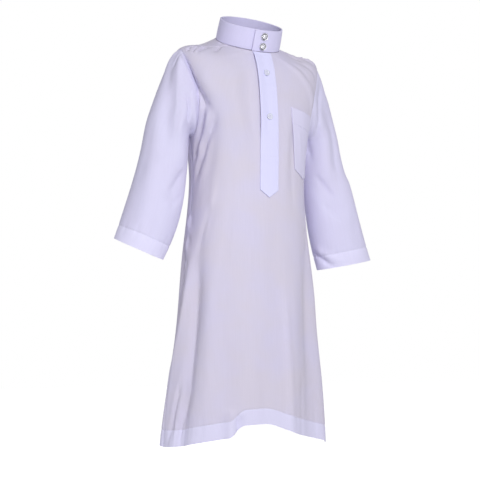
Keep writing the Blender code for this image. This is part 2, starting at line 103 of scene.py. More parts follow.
# The large folds, one row each: where the fold starts and ends round the body in degrees and down in
# millimetres, its half width and its depth in millimetres. A negative depth is a trough.
FOLD_COLUMNS = ("top_angle", "top_z", "bottom_angle", "bottom_z", "half_width", "depth")
BODY_FOLDS = {
    "main trough": (158, -335, 158, -740, 17, -9),
    "ridge beside it": (166, -350, 186, -740, 14, 5),
    "side trough": (181, -330, 201, -740, 14, -5),
    "left front ridge": (68, -400, 76, -740, 16, 6),
    "left front trough": (41, -300, 53, -740, 19, -5),
    "middle swell": (104, -430, 104, -740, 26, 4),
    "middle trough": (122, -520, 124, -740, 16, -4),
    "armpit trough, long": (132, -112, 161, -290, 13, -3),
    "armpit trough, middle": (147, -112, 166, -200, 9, -2.5),
    "armpit trough, short": (146, -90, 165, -250, 9, -2),
    "armpit trough, left": (19, -150, 10, -300, 11, -3),
    "left side ridge": (27, -340, 38, -740, 16, 6),
    "left side trough": (8, -340, 12, -740, 14, -6),
    "back middle trough": (272, -240, 268, -740, 20, -7),
    "back right ridge": (243, -260, 238, -740, 20, 8),
    "back right trough": (215, -330, 212, -740, 16, -7),
    "back left ridge": (300, -280, 305, -740, 20, 8),
    "back left trough": (325, -360, 330, -740, 16, -7),
}
FOLD_FADE = 0.35

# The creases that the cloth shows on those folds: points of degrees round the body and millimetres of height,
# then half width and depth in millimetres, and how much steeper one side is than the other.
CREASE_FADE = 0.33
CREASE_END = 0.12
BODY_CREASES = {
    "armpit, long": (((133, -138), (145, -166), (157, -194), (168, -228), (175, -264)), 6.5, -5.6, 0.2),
    "armpit, ridge over it": (((142, -134), (153, -162), (163, -190), (170, -215)), 4.5, 2.0, 0.0),
    "armpit, middle": (((150, -130), (160, -162), (170, -196), (177, -226)), 5.5, -4.8, 0.2),
    "armpit, short": (((153, -104), (160, -131), (168, -160)), 5, -3.0, -0.2),
    "shoulder to chest": (((165, -36), (158, -78), (152, -102), (146, -124), (138, -146)), 12, -7.2, -0.1),
    "chest swell": (((147, -58), (139, -92), (129, -120)), 12, 2.4, 0.0),
    "chest streak": (((156, -84), (152, -108), (149, -132)), 3.4, -3.2, 0.0),
    "waist, right": (((146, -296), (153, -340), (159, -392)), 10, -3.4, 0.2),
    "waist, right ridge": (((143, -250), (149, -322), (156, -392)), 8, 1.8, -0.2),
    "main trough": (
        ((158, -370), (160, -465), (160, -520), (156, -576),
         (153, -620), (155, -648), (160, -675), (166, -712)), 9, -3.4, 0.3,
    ),
    "bright ridge": (((167, -380), (171, -470), (179, -560), (186, -640)), 7, 2.4, 0.0),
    "side band": (((179, -345), (183, -410), (190, -480), (196, -560)), 8, -2.6, 0.0),
    "short trough": (((166, -604), (169, -655), (173, -716)), 6, -4.4, 0.2),
    "belly beside the trough": (((141, -380), (142, -500), (137, -600), (139, -690)), 15, 3.0, 0.0),
    "hem tuck": (((113, -662), (112.5, -688), (112, -745)), 5.0, -6.5, 0.35),
    "hem tuck ridge": (((119, -650), (118.5, -684), (118, -745)), 6.5, 4.0, 0.0),
    "right of the middle": (((97, -560), (95, -640), (91, -740)), 7, -1.6, 0.0),
    "left front ridge": (((77, -430), (77, -540), (76, -640), (76, -740)), 4.5, 3.0, 0.2),
    "left front trough": (((48, -350), (48, -460), (52, -551), (56, -640), (57, -740)), 10, -2.2, 0.2),
    "left front, small": (((62, -590), (65, -650), (66, -740)), 5, -1.8, 0.0),
    "left shoulder ridge": (((62, -24), (58, -50), (53, -76), (45, -104), (39, -140)), 8, 2.4, 0.35),
    "left shoulder crease": (((55, -36), (52, -54), (49, -74)), 4.5, -1.4, 0.0),
    "left shoulder, upper": (((44, -30), (38, -50), (33, -72)), 5, -1.6, 0.0),
    "left shoulder, low": (((4, -8), (3, -20), (4, -40), (6, -76)), 20, -6.5, 0.0),
    "left shoulder, behind": (((346, -2), (342, -14), (340, -40)), 24, -6, 0.0),
    "right shoulder, high": (((178, -16), (178, -30), (176, -48)), 14, 1.6, 0.0),
    "beside the placket": (((107, -34), (104.5, -92), (104.5, -160), (103, -226)), 7, -3.0, -0.3),
    "fullness by the placket": (((117, -58), (115, -130), (113, -215)), 11, 1.8, 0.0),
    "below the collar": (((128, -30), (120, -44), (110, -60)), 7, -1.3, 0.0),
    "left of the placket": (((74, -96), (73, -190), (74, -300)), 7, 1.5, 0.0),
    "before the pocket": (((68.5, -120), (66, -220), (63, -320)), 5, -1.3, 0.0),
    "below the pocket": (((38, -262), (36, -340), (42, -420)), 8, -1.8, 0.0),
    "front, low and faint": (((86, -300), (84, -400), (86, -500)), 9, -1.0, 0.0),
    "front, faint": (((124, -290), (128, -370), (132, -450)), 9, -1.2, 0.0),
    "front, faint ridge": (((112, -300), (112, -420), (115, -520)), 12, 1.2, 0.0),
    "left armpit, long": (((33, -150), (22, -215), (14, -290)), 6, -2.4, -0.3),
    "left armpit, short": (((28, -132), (18, -170), (9, -220)), 5, -1.8, 0.2),
    "left side": (((12, -330), (16, -450), (21, -600)), 7, -2.2, 0.2),
    "back, right armpit": (((214, -96), (202, -160), (190, -262)), 7, -2.6, 0.3),
    "back, right armpit, low": (((222, -150), (206, -214), (196, -290)), 6, -1.8, 0.0),
    "back, right shoulder": (((236, -30), (222, -70), (214, -120)), 9, -1.8, 0.0),
    "back, left armpit": (((326, -90), (339, -158), (350, -250)), 7, -2.6, -0.3),
    "back, left armpit, low": (((315, -132), (332, -200), (343, -300)), 6, -2.0, 0.0),
    "back, left shoulder": (((305, -24), (318, -62), (327, -108)), 8, -1.6, 0.0),
    "back, between the shoulders": (((268, -40), (266, -110), (270, -200)), 11, -1.6, 0.0),
    "back, waist right": (((238, -215), (229, -290), (224, -380)), 8, -2.4, 0.2),
    "back, waist left": (((296, -225), (309, -310), (316, -400)), 8, -2.2, -0.2),
    "back trough, fine": (((273, -300), (270, -420), (272, -560), (268, -740)), 7, -2.6, 0.2),
    "back right trough, fine": (((217, -380), (213, -520), (214, -740)), 6, -2.8, -0.2),
    "back left trough, fine": (((325, -400), (329, -560), (327, -740)), 6, -2.6, 0.2),
    "back, small low right": (((252, -600), (250, -670), (247, -740)), 5, -2.0, 0.0),
    "back, small low left": (((288, -560), (291, -650), (289, -740)), 6, -2.2, 0.0),
    "left side, low": (((350, -520), (352, -620), (356, -740)), 7, -2.4, 0.0),
    "right side, low": (((190, -480), (194, -600), (192, -740)), 7, -2.4, 0.0),
}

# Small gathers where the hem's stitches hold the cloth: degrees round the body, then half width and depth in
# millimetres. They fade out above and below the stitches.
HEM_GATHER_ABOVE = 16 * MM
HEM_GATHER_BELOW = 24 * MM
HEM_GATHERS = (
    (149, 3.0, -1.1), (152.5, 2.6, -1.7), (156, 3.2, -1.3), (160.5, 2.8, -2.0), (164, 3.0, -1.4),
    (168.5, 3.6, -1.8), (173, 3.2, -1.2), (139, 3.6, -0.8), (127, 3.4, -0.6), (83, 4.0, -0.8),
    (71, 3.2, -0.9), (47, 3.4, -1.2), (36, 3.0, -1.0), (21, 3.2, -1.3), (3, 3.4, -1.0),
    (187, 3.2, -1.2), (203, 3.6, -0.9), (226, 3.2, -1.1), (249, 3.6, -0.8), (263, 3.0, -1.0),
    (281, 3.4, -0.9), (309, 3.6, -1.2), (336, 3.2, -1.0), (349, 3.0, -1.2),
)

# The shoulder seam lies forward of the shoulder's top. Its puckers cross it aslant, one row each: the share
# of the seam from the neck, then depth and half width in millimetres.
SHOULDER_SEAM_TOP = 14 * DEGREE
SHOULDER_SEAM_TAPER = 13 * DEGREE
SHOULDER_SEAM_FADE = 4.76 * MM
PUCKER_MIDDLE = 9 * MM
PUCKER_REACH = 16 * MM
PUCKER_LEAST_RADIUS = 30 * MM
SHOULDER_PUCKERS = (
    (0.23, -4.2, 3.6), (0.38, 1.2, 4.5), (0.55, -5.2, 3.8),
    (0.63, 1.2, 3.4), (0.72, -4.0, 3.4), (0.93, -4.4, 3.6),
)

# The hand pockets are slits left open in the side seams. The seams pucker beside and below them: height and
# depth in millimetres.
SLIT_TOP = -300 * MM
SLIT_BOTTOM = -418 * MM
SLIT_GAPE = 2.6 * MM
SLIT_LIP = 7 * MM
SLIT_BACK_SHARE = -0.55
SLIT_PUCKERS = (
    (-312, -2.0), (-331, 1.6), (-352, -2.6), (-371, 1.9), (-393, -2.3), (-428, -2.2), (-444, 1.4),
)


def column(table, columns, name):
    """One named column of a table, as an array."""
    return np.array([row[columns.index(name)] for row in table.values()], float)


def spline(stations, values, at):
    """A natural cubic spline through values at the stations, read at the places in at."""
    step = np.diff(stations)
    count = len(stations)
    system = np.eye(count)
    right = np.zeros(values.shape)
    for i in range(1, count - 1):
        system[i, i - 1 : i + 2] = step[i - 1], 2 * (step[i - 1] + step[i]), step[i]
        right[i] = 6 * ((values[i + 1] - values[i]) / step[i] - (values[i] - values[i - 1]) / step[i - 1])
    bend = np.linalg.solve(system, right.reshape(count, -1)).reshape(values.shape)
    i = np.clip(np.searchsorted(stations, at) - 1, 0, count - 2)
    spread = at.shape + (1,) * (values.ndim - 1)
    left = (at - stations[i]).reshape(spread)
    rest = (stations[i + 1] - at).reshape(spread)
    width = step[i].reshape(spread)
    return (
        (bend[i] * rest**3 + bend[i + 1] * left**3) / (6 * width)
        + (values[i] / width - bend[i] * width / 6) * rest
        + (values[i + 1] / width - bend[i + 1] * width / 6) * left
    )


def distances(*axes):
    """How far each row of a table lies along the line through its rows."""
    steps = np.sqrt(sum(np.diff(axis) ** 2 for axis in axes))
    return np.concatenate([[0], np.cumsum(steps)])


TORSO_DOWN = MM * distances(*(column(TORSO, TORSO_COLUMNS, name) for name in ("side_x", "side_y", "side_z")))
TORSO_LEVELS = list(TORSO)
SHOULDER_DOWN = TORSO_DOWN[TORSO_LEVELS.index("shoulder point")]
UNDERARM_DOWN = TORSO_DOWN[TORSO_LEVELS.index("underarm")]
ARMHOLE_MIDDLE = (SHOULDER_DOWN + UNDERARM_DOWN) / 2
ARMHOLE_HALF = (UNDERARM_DOWN - SHOULDER_DOWN) / 2
HEM_DOWN = TORSO_DOWN[-1]


def bell(distance):
    """A smooth hump, 1 at distance 0 and near 0 from 2 on."""
    return np.exp(-(distance**2))


def ramp(value):
    """0 below 0, 1 above 1 and smooth between."""
    value = np.clip(value, 0, 1)
    return value * value * (3 - 2 * value)


def signed_turn(angle, middle):
    """How far round an angle lies from another, between minus and plus half a turn."""
    return np.mod(angle - middle + math.pi, 2 * math.pi) - math.pi


def unit(vectors):
    """The vectors at length 1."""
    return vectors / np.linalg.norm(vectors, axis=-1, keepdims=True)


def torso_frame(angle, down):
    """The levels joined up: x is the side's reach times the cosine, y and z run to the front's or back's
    values with the sine, the sine's square where the section rolls over the shoulder."""
    level = {
        name: spline(TORSO_DOWN, column(TORSO, TORSO_COLUMNS, name), down) for name in TORSO_COLUMNS
    }
    across = np.cos(angle)
    along = np.abs(np.sin(angle))
    front = np.sin(angle) > 0
    end_y = np.where(front, level["front_y"], level["back_y"])
    end_z = np.where(front, level["front_z"], level["back_z"])
    square = level["square"]
    over = np.clip(level["round_over"], 0, 1)
    x = level["side_x"] * across * (1 + square * along**2)
    y = level["side_y"] + (end_y - level["side_y"]) * along * (1 + square * across**2)
    z = level["side_z"] + (end_z - level["side_z"]) * (over * along**2 + (1 - over) * along)
    near_hem = ramp((down - HEM_LIFT_START) / (HEM_DOWN - HEM_LIFT_START))
    turn = np.mod(angle, 2 * math.pi)
    step = ramp((HEM_STEP_ANGLE - turn) / HEM_STEP_WIDTH)
    lift = HEM_LIFT * np.where(turn > HEM_LIFT_ANGLE, step, bell((angle - HEM_LIFT_ANGLE) / HEM_LIFT_SPREAD))
    lift = lift + BACK_HEM_RISE * ramp(-np.sin(angle) / BACK_HEM_REACH)
    for at, spread, shift in SIDE_HEM_SHIFTS:
        lift = lift + shift * MM * bell(signed_turn(angle, at * DEGREE) / (spread * DEGREE))
    return np.stack([x * MM, y * MM, z * MM + lift * near_hem], axis=-1)


def torso(angle, down):
    """The body's smooth surface: the weighted mean of five points of the frame, up and down from each place,
    so the cloth bridges the corner at the shoulder line."""
    reach = SHOULDER_BRIDGE * np.sin(angle) ** 2 * ramp(down / SHOULDER_DOWN)
    point = 0
    for weight, step in zip((1, 4, 6, 4, 1), (-1, -0.5, 0, 0.5, 1)):
        point = point + weight / 16 * torso_frame(angle, down + step * reach)
    return point


def normals_of(surface, angle, down):
    """Outward normals of a surface of angle and down, from points a little to each side."""
    small_angle = 0.002
    small_down = 0.2 * MM
    round_step = surface(angle + small_angle, down) - surface(angle - small_angle, down)
    down_step = surface(angle, down + small_down) - surface(angle, down - small_down)
    return unit(np.cross(round_step, down_step))


def fold_depth(angle, point):
    """How far the large folds push the cloth out: each is a bell across a line that runs down the cloth."""
    radius = np.hypot(point[..., 0], point[..., 1])
    height = point[..., 2]
    push = np.zeros(np.shape(angle))
    turn = np.mod(angle, 2 * math.pi)
    for row in BODY_FOLDS.values():
        fold = dict(zip(FOLD_COLUMNS, row))
        top = fold["top_z"] * MM
        bottom = fold["bottom_z"] * MM
        share = (top - height) / (top - bottom)
        centre = DEGREE * (fold["top_angle"] + share * (fold["bottom_angle"] - fold["top_angle"]))
        side = (turn - centre) * radius / (fold["half_width"] * MM)
        ends = ramp(share / FOLD_FADE)
        if bottom > TORSO["hem"][2] * MM:
            ends = ends * ramp((1 - share) / FOLD_FADE)
        push = push + fold["depth"] * MM * bell(side) * ends
    return push


def along_line(across, down, line):
    """Where places lie beside a line of points: the distance to it, its share there and the side of it."""
    nearest = np.full(np.shape(across), np.inf)
    share = np.zeros(np.shape(across))
    side = np.zeros(np.shape(across))
    for i in range(len(line) - 1):
        start = line[i]
        run = (line[i + 1][0] - start[0], line[i + 1][1] - start[1])
        length = np.hypot(*run)
        place = ((across - start[0]) * run[0] + (down - start[1]) * run[1]) / length**2
        held = np.clip(place, 0, 1)
        gap = np.hypot(across - start[0] - held * run[0], down - start[1] - held * run[1])
        closer = gap < nearest
        share = np.where(closer, (i + held) / (len(line) - 1), share)
        turned = (across - start[0]) * run[1] - (down - start[1]) * run[0]
        side = np.where(closer, np.sign(turned), side)
        nearest = np.minimum(gap, nearest)
    return nearest, share, side


def crease(across, down, line, half_width, steeper):
    """A crease's share of its depth: a bell of the distance to a line of points, narrower on one side by
    steeper, and fading over about a third of the line at each end."""
    nearest, share, side = along_line(across, down, line)
    fade = ramp(share / CREASE_FADE + CREASE_END) * ramp((1 - share) / CREASE_FADE + CREASE_END)
    return bell(nearest / (half_width * (1 + steeper * side))) * fade


def crease_depth(angle, point):
    """How far the creases push the cloth out."""
    radius = np.hypot(point[..., 0], point[..., 1])
    height = point[..., 2]
    push = np.zeros(np.shape(angle))
    for line, half_width, depth, steeper in BODY_CREASES.values():
        middle = DEGREE * line[len(line) // 2][0]
        off = signed_turn(angle, middle) * radius
        places = [((DEGREE * at - middle) * radius, z * MM) for at, z in line]
        push = push + depth * MM * crease(off, height, places, half_width * MM, steeper)
    return push


def gather_depth(angle, down, point):
    """The hem's gathers: each a bell round its angle, strongest at the stitch row and half as strong at the
    edge."""
    radius = np.hypot(point[..., 0], point[..., 1])
    below = down - HEM_DOWN + HEM_HEIGHT
    fade = bell(below / np.where(below < 0, HEM_GATHER_ABOVE, HEM_GATHER_BELOW))
    push = np.zeros(np.shape(angle))
    for at, half_width, depth in HEM_GATHERS:
        push = push + depth * MM * bell(signed_turn(angle, at * DEGREE) * radius / (half_width * MM))
    return push * fade


def seam_line(down):
    """How far round from the side the forward shoulder seam lies, running out at the armhole's top."""
    share = np.clip(down / SHOULDER_DOWN, 0, 1)
    return SHOULDER_SEAM_TOP + SHOULDER_SEAM_TAPER * (1 - share)


def shoulder_depth(angle, down, point):
    """The forward shoulder seam: a sunk line, a raised edge behind it and short puckers aslant over it."""
    radius = np.maximum(np.hypot(point[..., 0], point[..., 1]), PUCKER_LEAST_RADIUS)
    push = np.zeros(np.shape(angle))
    inside = ramp((SHOULDER_DOWN + 3 * MM - down) / SHOULDER_SEAM_FADE)
    forward = np.where(np.sin(angle) > 0, 1, -1) * seam_line(down)
    for side in (0, math.pi):
        off = (np.abs(signed_turn(angle, side)) - forward) * radius
        push = push + (0.8 * bell((off + 3 * MM) / (2.6 * MM)) - bell(off / (1.5 * MM))) * MM * inside
        for share, depth, width in SHOULDER_PUCKERS:
            slanted = (down - share * SHOULDER_DOWN - off) / (width * MM)
            push = push + depth * MM * bell(slanted) * bell((off - PUCKER_MIDDLE) / PUCKER_REACH) * inside
    return push


def slit_depth(angle, point):
    """The hand pockets' slits: between their ends the front's edge stands out and the back's sinks in."""
    radius = np.hypot(point[..., 0], point[..., 1])
    height = point[..., 2]
    open_part = ramp((SLIT_TOP - height) / (22 * MM)) * ramp((height - SLIT_BOTTOM) / (16 * MM))
    push = np.zeros(np.shape(angle))
    gape = SLIT_GAPE * np.where(np.sin(angle) > 0, 1.0, SLIT_BACK_SHARE) * open_part
    for side in (0, math.pi):
        off = np.abs(signed_turn(angle, side)) * radius
        push = push + gape * bell(off / SLIT_LIP)
        for at, depth in SLIT_PUCKERS:
            slanted = (height - at * MM + 0.8 * off) / (6 * MM)
            push = push + depth * MM * bell(slanted) * bell((off - 4 * MM) / (9 * MM))
    return push


def armhole_angle(down, reach):
    """How far round from the side the armhole's edge lies: a half ellipse in angle and distance down."""
    height = np.clip((down - ARMHOLE_MIDDLE) / ARMHOLE_HALF, -1, 1)
    return reach * np.sqrt(1 - height**2)


def armhole_down(turn):
    """The distance down the side at a turn round the armhole, 0 at its top and pi at the underarm."""
    return ARMHOLE_MIDDLE - ARMHOLE_HALF * np.cos(turn)


def plain_cloth(angle, down):
    """The body's surface with its large folds alone."""
    point = torso(angle, down)
    return point + normals_of(torso, angle, down) * fold_depth(angle, point)[..., None]


def cloth(angle, down):
    """The body's surface with all its folds, and the smooth surface's normals."""
    point = torso(angle, down)
    normal = normals_of(torso, angle, down)
    push = fold_depth(angle, point) + crease_depth(angle, point) + gather_depth(angle, down, point)
    push = push + shoulder_depth(angle, down, point) + slit_depth(angle, point)
    push = push - STITCH_SINK * bell((down - HEM_DOWN + HEM_HEIGHT) / STITCH_DIP)
    return point + normal * push[..., None], normal


def grid_normals(grid, closed=False):
    """Normals of a grid of points from its steps along rows and columns."""
    if closed:
        row_step = np.roll(grid, -1, axis=1) - np.roll(grid, 1, axis=1)
    else:
        row_step = np.gradient(grid, axis=1)
    return unit(np.cross(row_step, np.gradient(grid, axis=0)))


def grid_faces(ids, closed):
    """Quads between neighbouring points of a grid of point numbers."""
    if closed:
        ids = np.concatenate([ids, ids[:, :1]], axis=1)
    corners = np.stack([ids[:-1, :-1], ids[:-1, 1:], ids[1:, 1:], ids[1:, :-1]], axis=-1)
    return corners.reshape(-1, 4)


def add_object(name, points, faces, surface, cut=None, layers=None):
    """A mesh object from points and faces. cut is each point's place on the flat cloth, and layers is 1 where
    the cloth is doubled."""
    mesh = bpy.data.meshes.new(name)
    mesh.from_pydata(np.asarray(points).tolist(), [], [list(map(int, face)) for face in faces])
    shape = bmesh.new()
    shape.from_mesh(mesh)
    bmesh.ops.recalc_face_normals(shape, faces=shape.faces)
    shape.to_mesh(mesh)
    shape.free()
    if cut is not None:
        corner = np.empty(len(mesh.loops), np.int32)
        mesh.loops.foreach_get("vertex_index", corner)
        mesh.uv_layers.new(name="cut").data.foreach_set("uv", np.asarray(cut)[corner].ravel())
    if layers is not None:
        mesh.attributes.new("layers", "FLOAT", "POINT").data.foreach_set("value", np.ravel(layers))
    mesh.shade_smooth()
    mesh.set_sharp_from_angle(angle=50 * DEGREE)
    mesh.materials.append(surface)
    made = bpy.data.objects.new(name, mesh)
    bpy.context.scene.collection.objects.link(made)
    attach(made, "root")
    return made


def shell(name, outer, inner, surface, layers, closed=False):
    """A cloth wall between an outer and an inner grid of points, with its place on the flat cloth."""
    rows, columns = outer.shape[:2]
    outer_ids = np.arange(rows * columns).reshape(rows, columns)
    inner_ids = outer_ids + rows * columns
    faces = [grid_faces(outer_ids, closed), grid_faces(inner_ids, closed)[:, ::-1]]
    for end in (0, -1):
        faces.append(grid_faces(np.stack([outer_ids[end], inner_ids[end]]), closed))
    if not closed:
        for side in (0, -1):
            faces.append(grid_faces(np.stack([outer_ids[:, side], inner_ids[:, side]]), False))
    across = np.linalg.norm(np.diff(outer, axis=1), axis=-1)
    across = np.concatenate([np.zeros((rows, 1)), np.cumsum(across, axis=1)], axis=1)
    down = np.linalg.norm(np.diff(outer, axis=0), axis=-1)
    down = np.concatenate([np.zeros((1, columns)), np.cumsum(down, axis=0)], axis=0)
    across = across - across[:, columns // 2 : columns // 2 + 1]
    down = np.repeat(down[:, columns // 2 : columns // 2 + 1], columns, axis=1)
    cut = np.stack([across, down], axis=-1).reshape(-1, 2)
    return add_object(
        name,
        np.concatenate([outer.reshape(-1, 3), inner.reshape(-1, 3)]),
        np.concatenate(faces),
        surface,
        np.concatenate([cut, cut]),
        np.concatenate([np.ravel(layers), np.ravel(layers)]),
    )


def linear(hex_colour):
    """An sRGB hex colour as linear red, green, blue and alpha."""
    parts = [int(hex_colour[i : i + 2], 16) / 255 for i in (1, 3, 5)]
    return [c / 12.92 if c <= 0.04045 else ((c + 0.055) / 1.055) ** 2.4 for c in parts] + [1.0]


def feed(tree, node, links):
    """Links a node's inputs, by name or number, to the sockets that feed them, or sets them to values."""
    for key, source in links.items():
        if isinstance(source, bpy.types.NodeSocket):
            tree.links.new(source, node.inputs[key])
        else:
            node.inputs[key].default_value = source


def add_node(tree, kind, links=None, **settings):
    """A node with its settings and what feeds its inputs."""
    node = tree.nodes.new(kind)
    for key, value in settings.items():
        if hasattr(node, key):
            setattr(node, key, value)
    feed(tree, node, links or {})
    return node


def start_material(name):
    """A new material, its node tree, its Principled shader and the place in the object's own space."""
    made = bpy.data.materials.new(name)
    made.use_nodes = True
    tree = made.node_tree
    place = add_node(tree, "ShaderNodeTexCoord").outputs["Object"]
    return made, tree, tree.nodes["Principled BSDF"], place


def noise(tree, place, scale, detail, distortion=0.0):
    """A noise texture's grey value."""
    links = {"Vector": place, "Scale": scale, "Detail": detail, "Distortion": distortion}
    return add_node(tree, "ShaderNodeTexNoise", links).outputs["Fac"]


def ranged(tree, value, low, high, start=0.0, end=1.0):
    """A value mapped so that it runs from low to high where it ran from start to end."""
    links = {"Value": value, "From Min": start, "From Max": end, "To Min": low, "To Max": high}
    return add_node(tree, "ShaderNodeMapRange", links).outputs["Result"]


def mixed(tree, factor, first, second):
    """The first colour at factor 0, the second at 1."""
    links = {"Factor": factor, 6: first, 7: second}
    return add_node(tree, "ShaderNodeMix", links, data_type="RGBA").outputs[2]


def product(tree, first, second):
    """Two values multiplied."""
    return add_node(tree, "ShaderNodeMath", {0: first, 1: second}, operation="MULTIPLY").outputs["Value"]


def attribute(tree, name):
    """A mesh attribute's value."""
    return add_node(tree, "ShaderNodeAttribute", attribute_name=name).outputs["Fac"]


def bump(tree, height, strength, distance, more=None):
    """A normal that follows a height, over what more feeds in."""
    links = {"Height": height, "Strength": strength, "Distance": distance, **(more or {})}
    return add_node(tree, "ShaderNodeBump", links).outputs["Normal"]


THREAD_PITCH = 0.9 * MM
SLUB_WIDTH = 2.2 * MM
SLUB_LENGTH = 60 * MM


def poplin(name, one_layer, one_layer_warm, doubled, through):
    """Poplin: a fine plain weave in cotton and polyester, calendered, so it is matt with a soft sheen and no
    visible thread from a step away. One layer lets some light through; a doubled one looks whiter.

    Real threads are 0.25 mm apart. They are drawn 0.9 mm apart, the least that shows close up.
    """
    made, tree, shader, where = start_material(name)
    cut = add_node(tree, "ShaderNodeUVMap", uv_map="cut").outputs["UV"]
    layers = attribute(tree, "layers")
    threads = []
    for direction in ("X", "Y"):
        links = {"Vector": cut, "Scale": 2 * math.pi / 20 / THREAD_PITCH}
        threads.append(add_node(tree, "ShaderNodeTexWave", links, bands_direction=direction).outputs["Fac"])
    plain_weave = product(tree, *threads)
    stretch = {0: cut, 1: (1 / SLUB_WIDTH, 1 / SLUB_LENGTH, 1)}
    stretched = add_node(tree, "ShaderNodeVectorMath", stretch, operation="MULTIPLY").outputs["Vector"]
    slubs = noise(tree, stretched, 1.0, 3.0)
    cool_or_warm = ranged(tree, noise(tree, where, 14.0, 2.0), 0.0, 1.0, 0.35, 0.65)
    single = mixed(tree, cool_or_warm, linear(one_layer), linear(one_layer_warm))
    colour = mixed(tree, layers, single, linear(doubled))
    # Painted light and shade: the poplin's colour is scaled from 1.03 at 0.28 m below the neck seam and lower
    # to 0.975 at 0.1 m below it and higher. It is drawn lighter low down, where light comes through the cloth
    # from behind, and darker over the chest.
    height = add_node(tree, "ShaderNodeSeparateXYZ", {0: where}).outputs["Z"]
    painted_light_below_shade_above = ranged(tree, height, 1.03, 0.975, -0.28, -0.1)
    slubs_and_painted_light = product(tree, ranged(tree, slubs, 0.985, 1.01, 0.3, 0.7), painted_light_below_shade_above)
    shade = {0: colour, "Scale": slubs_and_painted_light}
    woven_colour_and_painted_light = add_node(tree, "ShaderNodeVectorMath", shade, operation="SCALE").outputs["Vector"]
    soft = bump(tree, noise(tree, where, 55.0, 3.0), 0.22, 1.2 * MM)
    normal = bump(tree, plain_weave, 0.35, 0.1 * MM, {"Normal": soft})
    look = {
        "Base Color": woven_colour_and_painted_light,
        "Normal": normal,
        "Roughness": ranged(tree, slubs, 0.72, 0.86),
        "IOR": 1.5,
        "Specular IOR Level": 0.25,
        "Sheen Weight": 0.12,
        "Sheen Roughness": 0.5,
    }
    feed(tree, shader, look)
    light_through = add_node(tree, "ShaderNodeBsdfTranslucent", {"Color": woven_colour_and_painted_light, "Normal": normal})
    thin = ranged(tree, layers, through, through * 0.3)
    sides = {0: thin, 1: shader.outputs["BSDF"], 2: light_through.outputs["BSDF"]}
    both = add_node(tree, "ShaderNodeMixShader", sides)
    feed(tree, tree.nodes["Material Output"], {"Surface": both.outputs["Shader"]})
    return made


def edge_shares(columns, near_edge):
    """Places across a panel from 0 to 1, closer together at both edges."""
    middle = np.linspace(near_edge[-1], 1 - near_edge[-1], columns)[1:-1]
    return np.concatenate([near_edge, middle, 1 - near_edge[::-1]])


def panel_rows():
    """The rows' distances down the side, closer together at the hem's stitch row."""
    stitch_row = HEM_DOWN - HEM_HEIGHT
    return np.concatenate(
        [
            np.linspace(0, 3 * MM, 4)[:-1],
            np.linspace(3 * MM, SHOULDER_DOWN, 36)[:-1],
            armhole_down(np.linspace(0, math.pi, ARMHOLE_ROWS + 1)),
            np.linspace(UNDERARM_DOWN, stitch_row - 4 * MM, 136)[1:],
            np.linspace(stitch_row - 3 * MM, stitch_row + 3 * MM, 7),
            np.linspace(stitch_row + 5 * MM, HEM_DOWN - 1 * MM, 8),
            [HEM_DOWN],
        ]
    )


def seam_allowance(from_edge):
    """How much the cloth that is turned in behind a seam whitens it, by the distance from the seam."""
    return 0.3 * ramp((9 * MM - from_edge) / (2 * MM))


def turned_up(below):
    """1 where the cloth is doubled below its stitch row and 0 above it, and its thickness there."""
    hem = ramp(below / (2 * MM) + 0.5)
    return hem, LAYER + (HEM_LAYERS - LAYER) * hem


def panel(name, start, columns, armholes, surface):
    """The front or the back: from one side seam and armhole to the other, a half turn from start."""
    rows = panel_rows()
    step = np.full(len(rows), 0.001)
    side_reach = np.linalg.norm(torso(step, rows) - torso(-step, rows), axis=-1)
    seam = SEAM_GAP * step / side_reach
    first, last = (np.maximum(seam, armhole_angle(rows, ARMHOLE_REACH[key]))[:, None] for key in armholes)
    share = edge_shares(columns, np.array(EDGE_SHARES))
    angle = start + first + share * (math.pi - first - last)
    down = np.repeat(rows[:, None], len(share), axis=1)
    outer, _ = cloth(angle, down)
    width = np.sum(np.linalg.norm(np.diff(outer, axis=1), axis=-1), axis=1, keepdims=True)
    from_edge = np.minimum(share, 1 - share) * width
    side_seam = np.where(rows[:, None] < SHOULDER_DOWN, 0, 1)
    slit = ramp((SLIT_TOP - outer[..., 2]) / (12 * MM)) * ramp((outer[..., 2] - SLIT_BOTTOM) / (12 * MM))
    sunk = bell(from_edge / SEAM_WIDTH) * side_seam * (1 - slit) + NECK_SINK * bell(down / SEAM_WIDTH)
    outer = outer - grid_normals(outer) * (SEAM_SINK * sunk)[..., None]
    hem, thickness = turned_up(down - HEM_DOWN + HEM_HEIGHT)
    inner = outer - grid_normals(outer) * thickness[..., None]
    return shell(name, outer, inner, surface, np.maximum(hem, seam_allowance(from_edge) * side_seam))


BODY_POPLIN = poplin("poplin, body", "#dfdaf0", "#e0daea", "#e1def8", 0.14)
front = panel("front_panel", 0, 150, ("left front", "right front"), BODY_POPLIN)
back = panel("back_panel", math.pi, 112, ("right back", "left back"), BODY_POPLIN)
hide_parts("front")
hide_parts("back")

# Sleeves
# Long set-in sleeves of the same poplin, each one piece closed by a seam under the arm, set into the armhole
# with a little fullness at its head. The cuff edge is turned up inside and stitched, with no button.

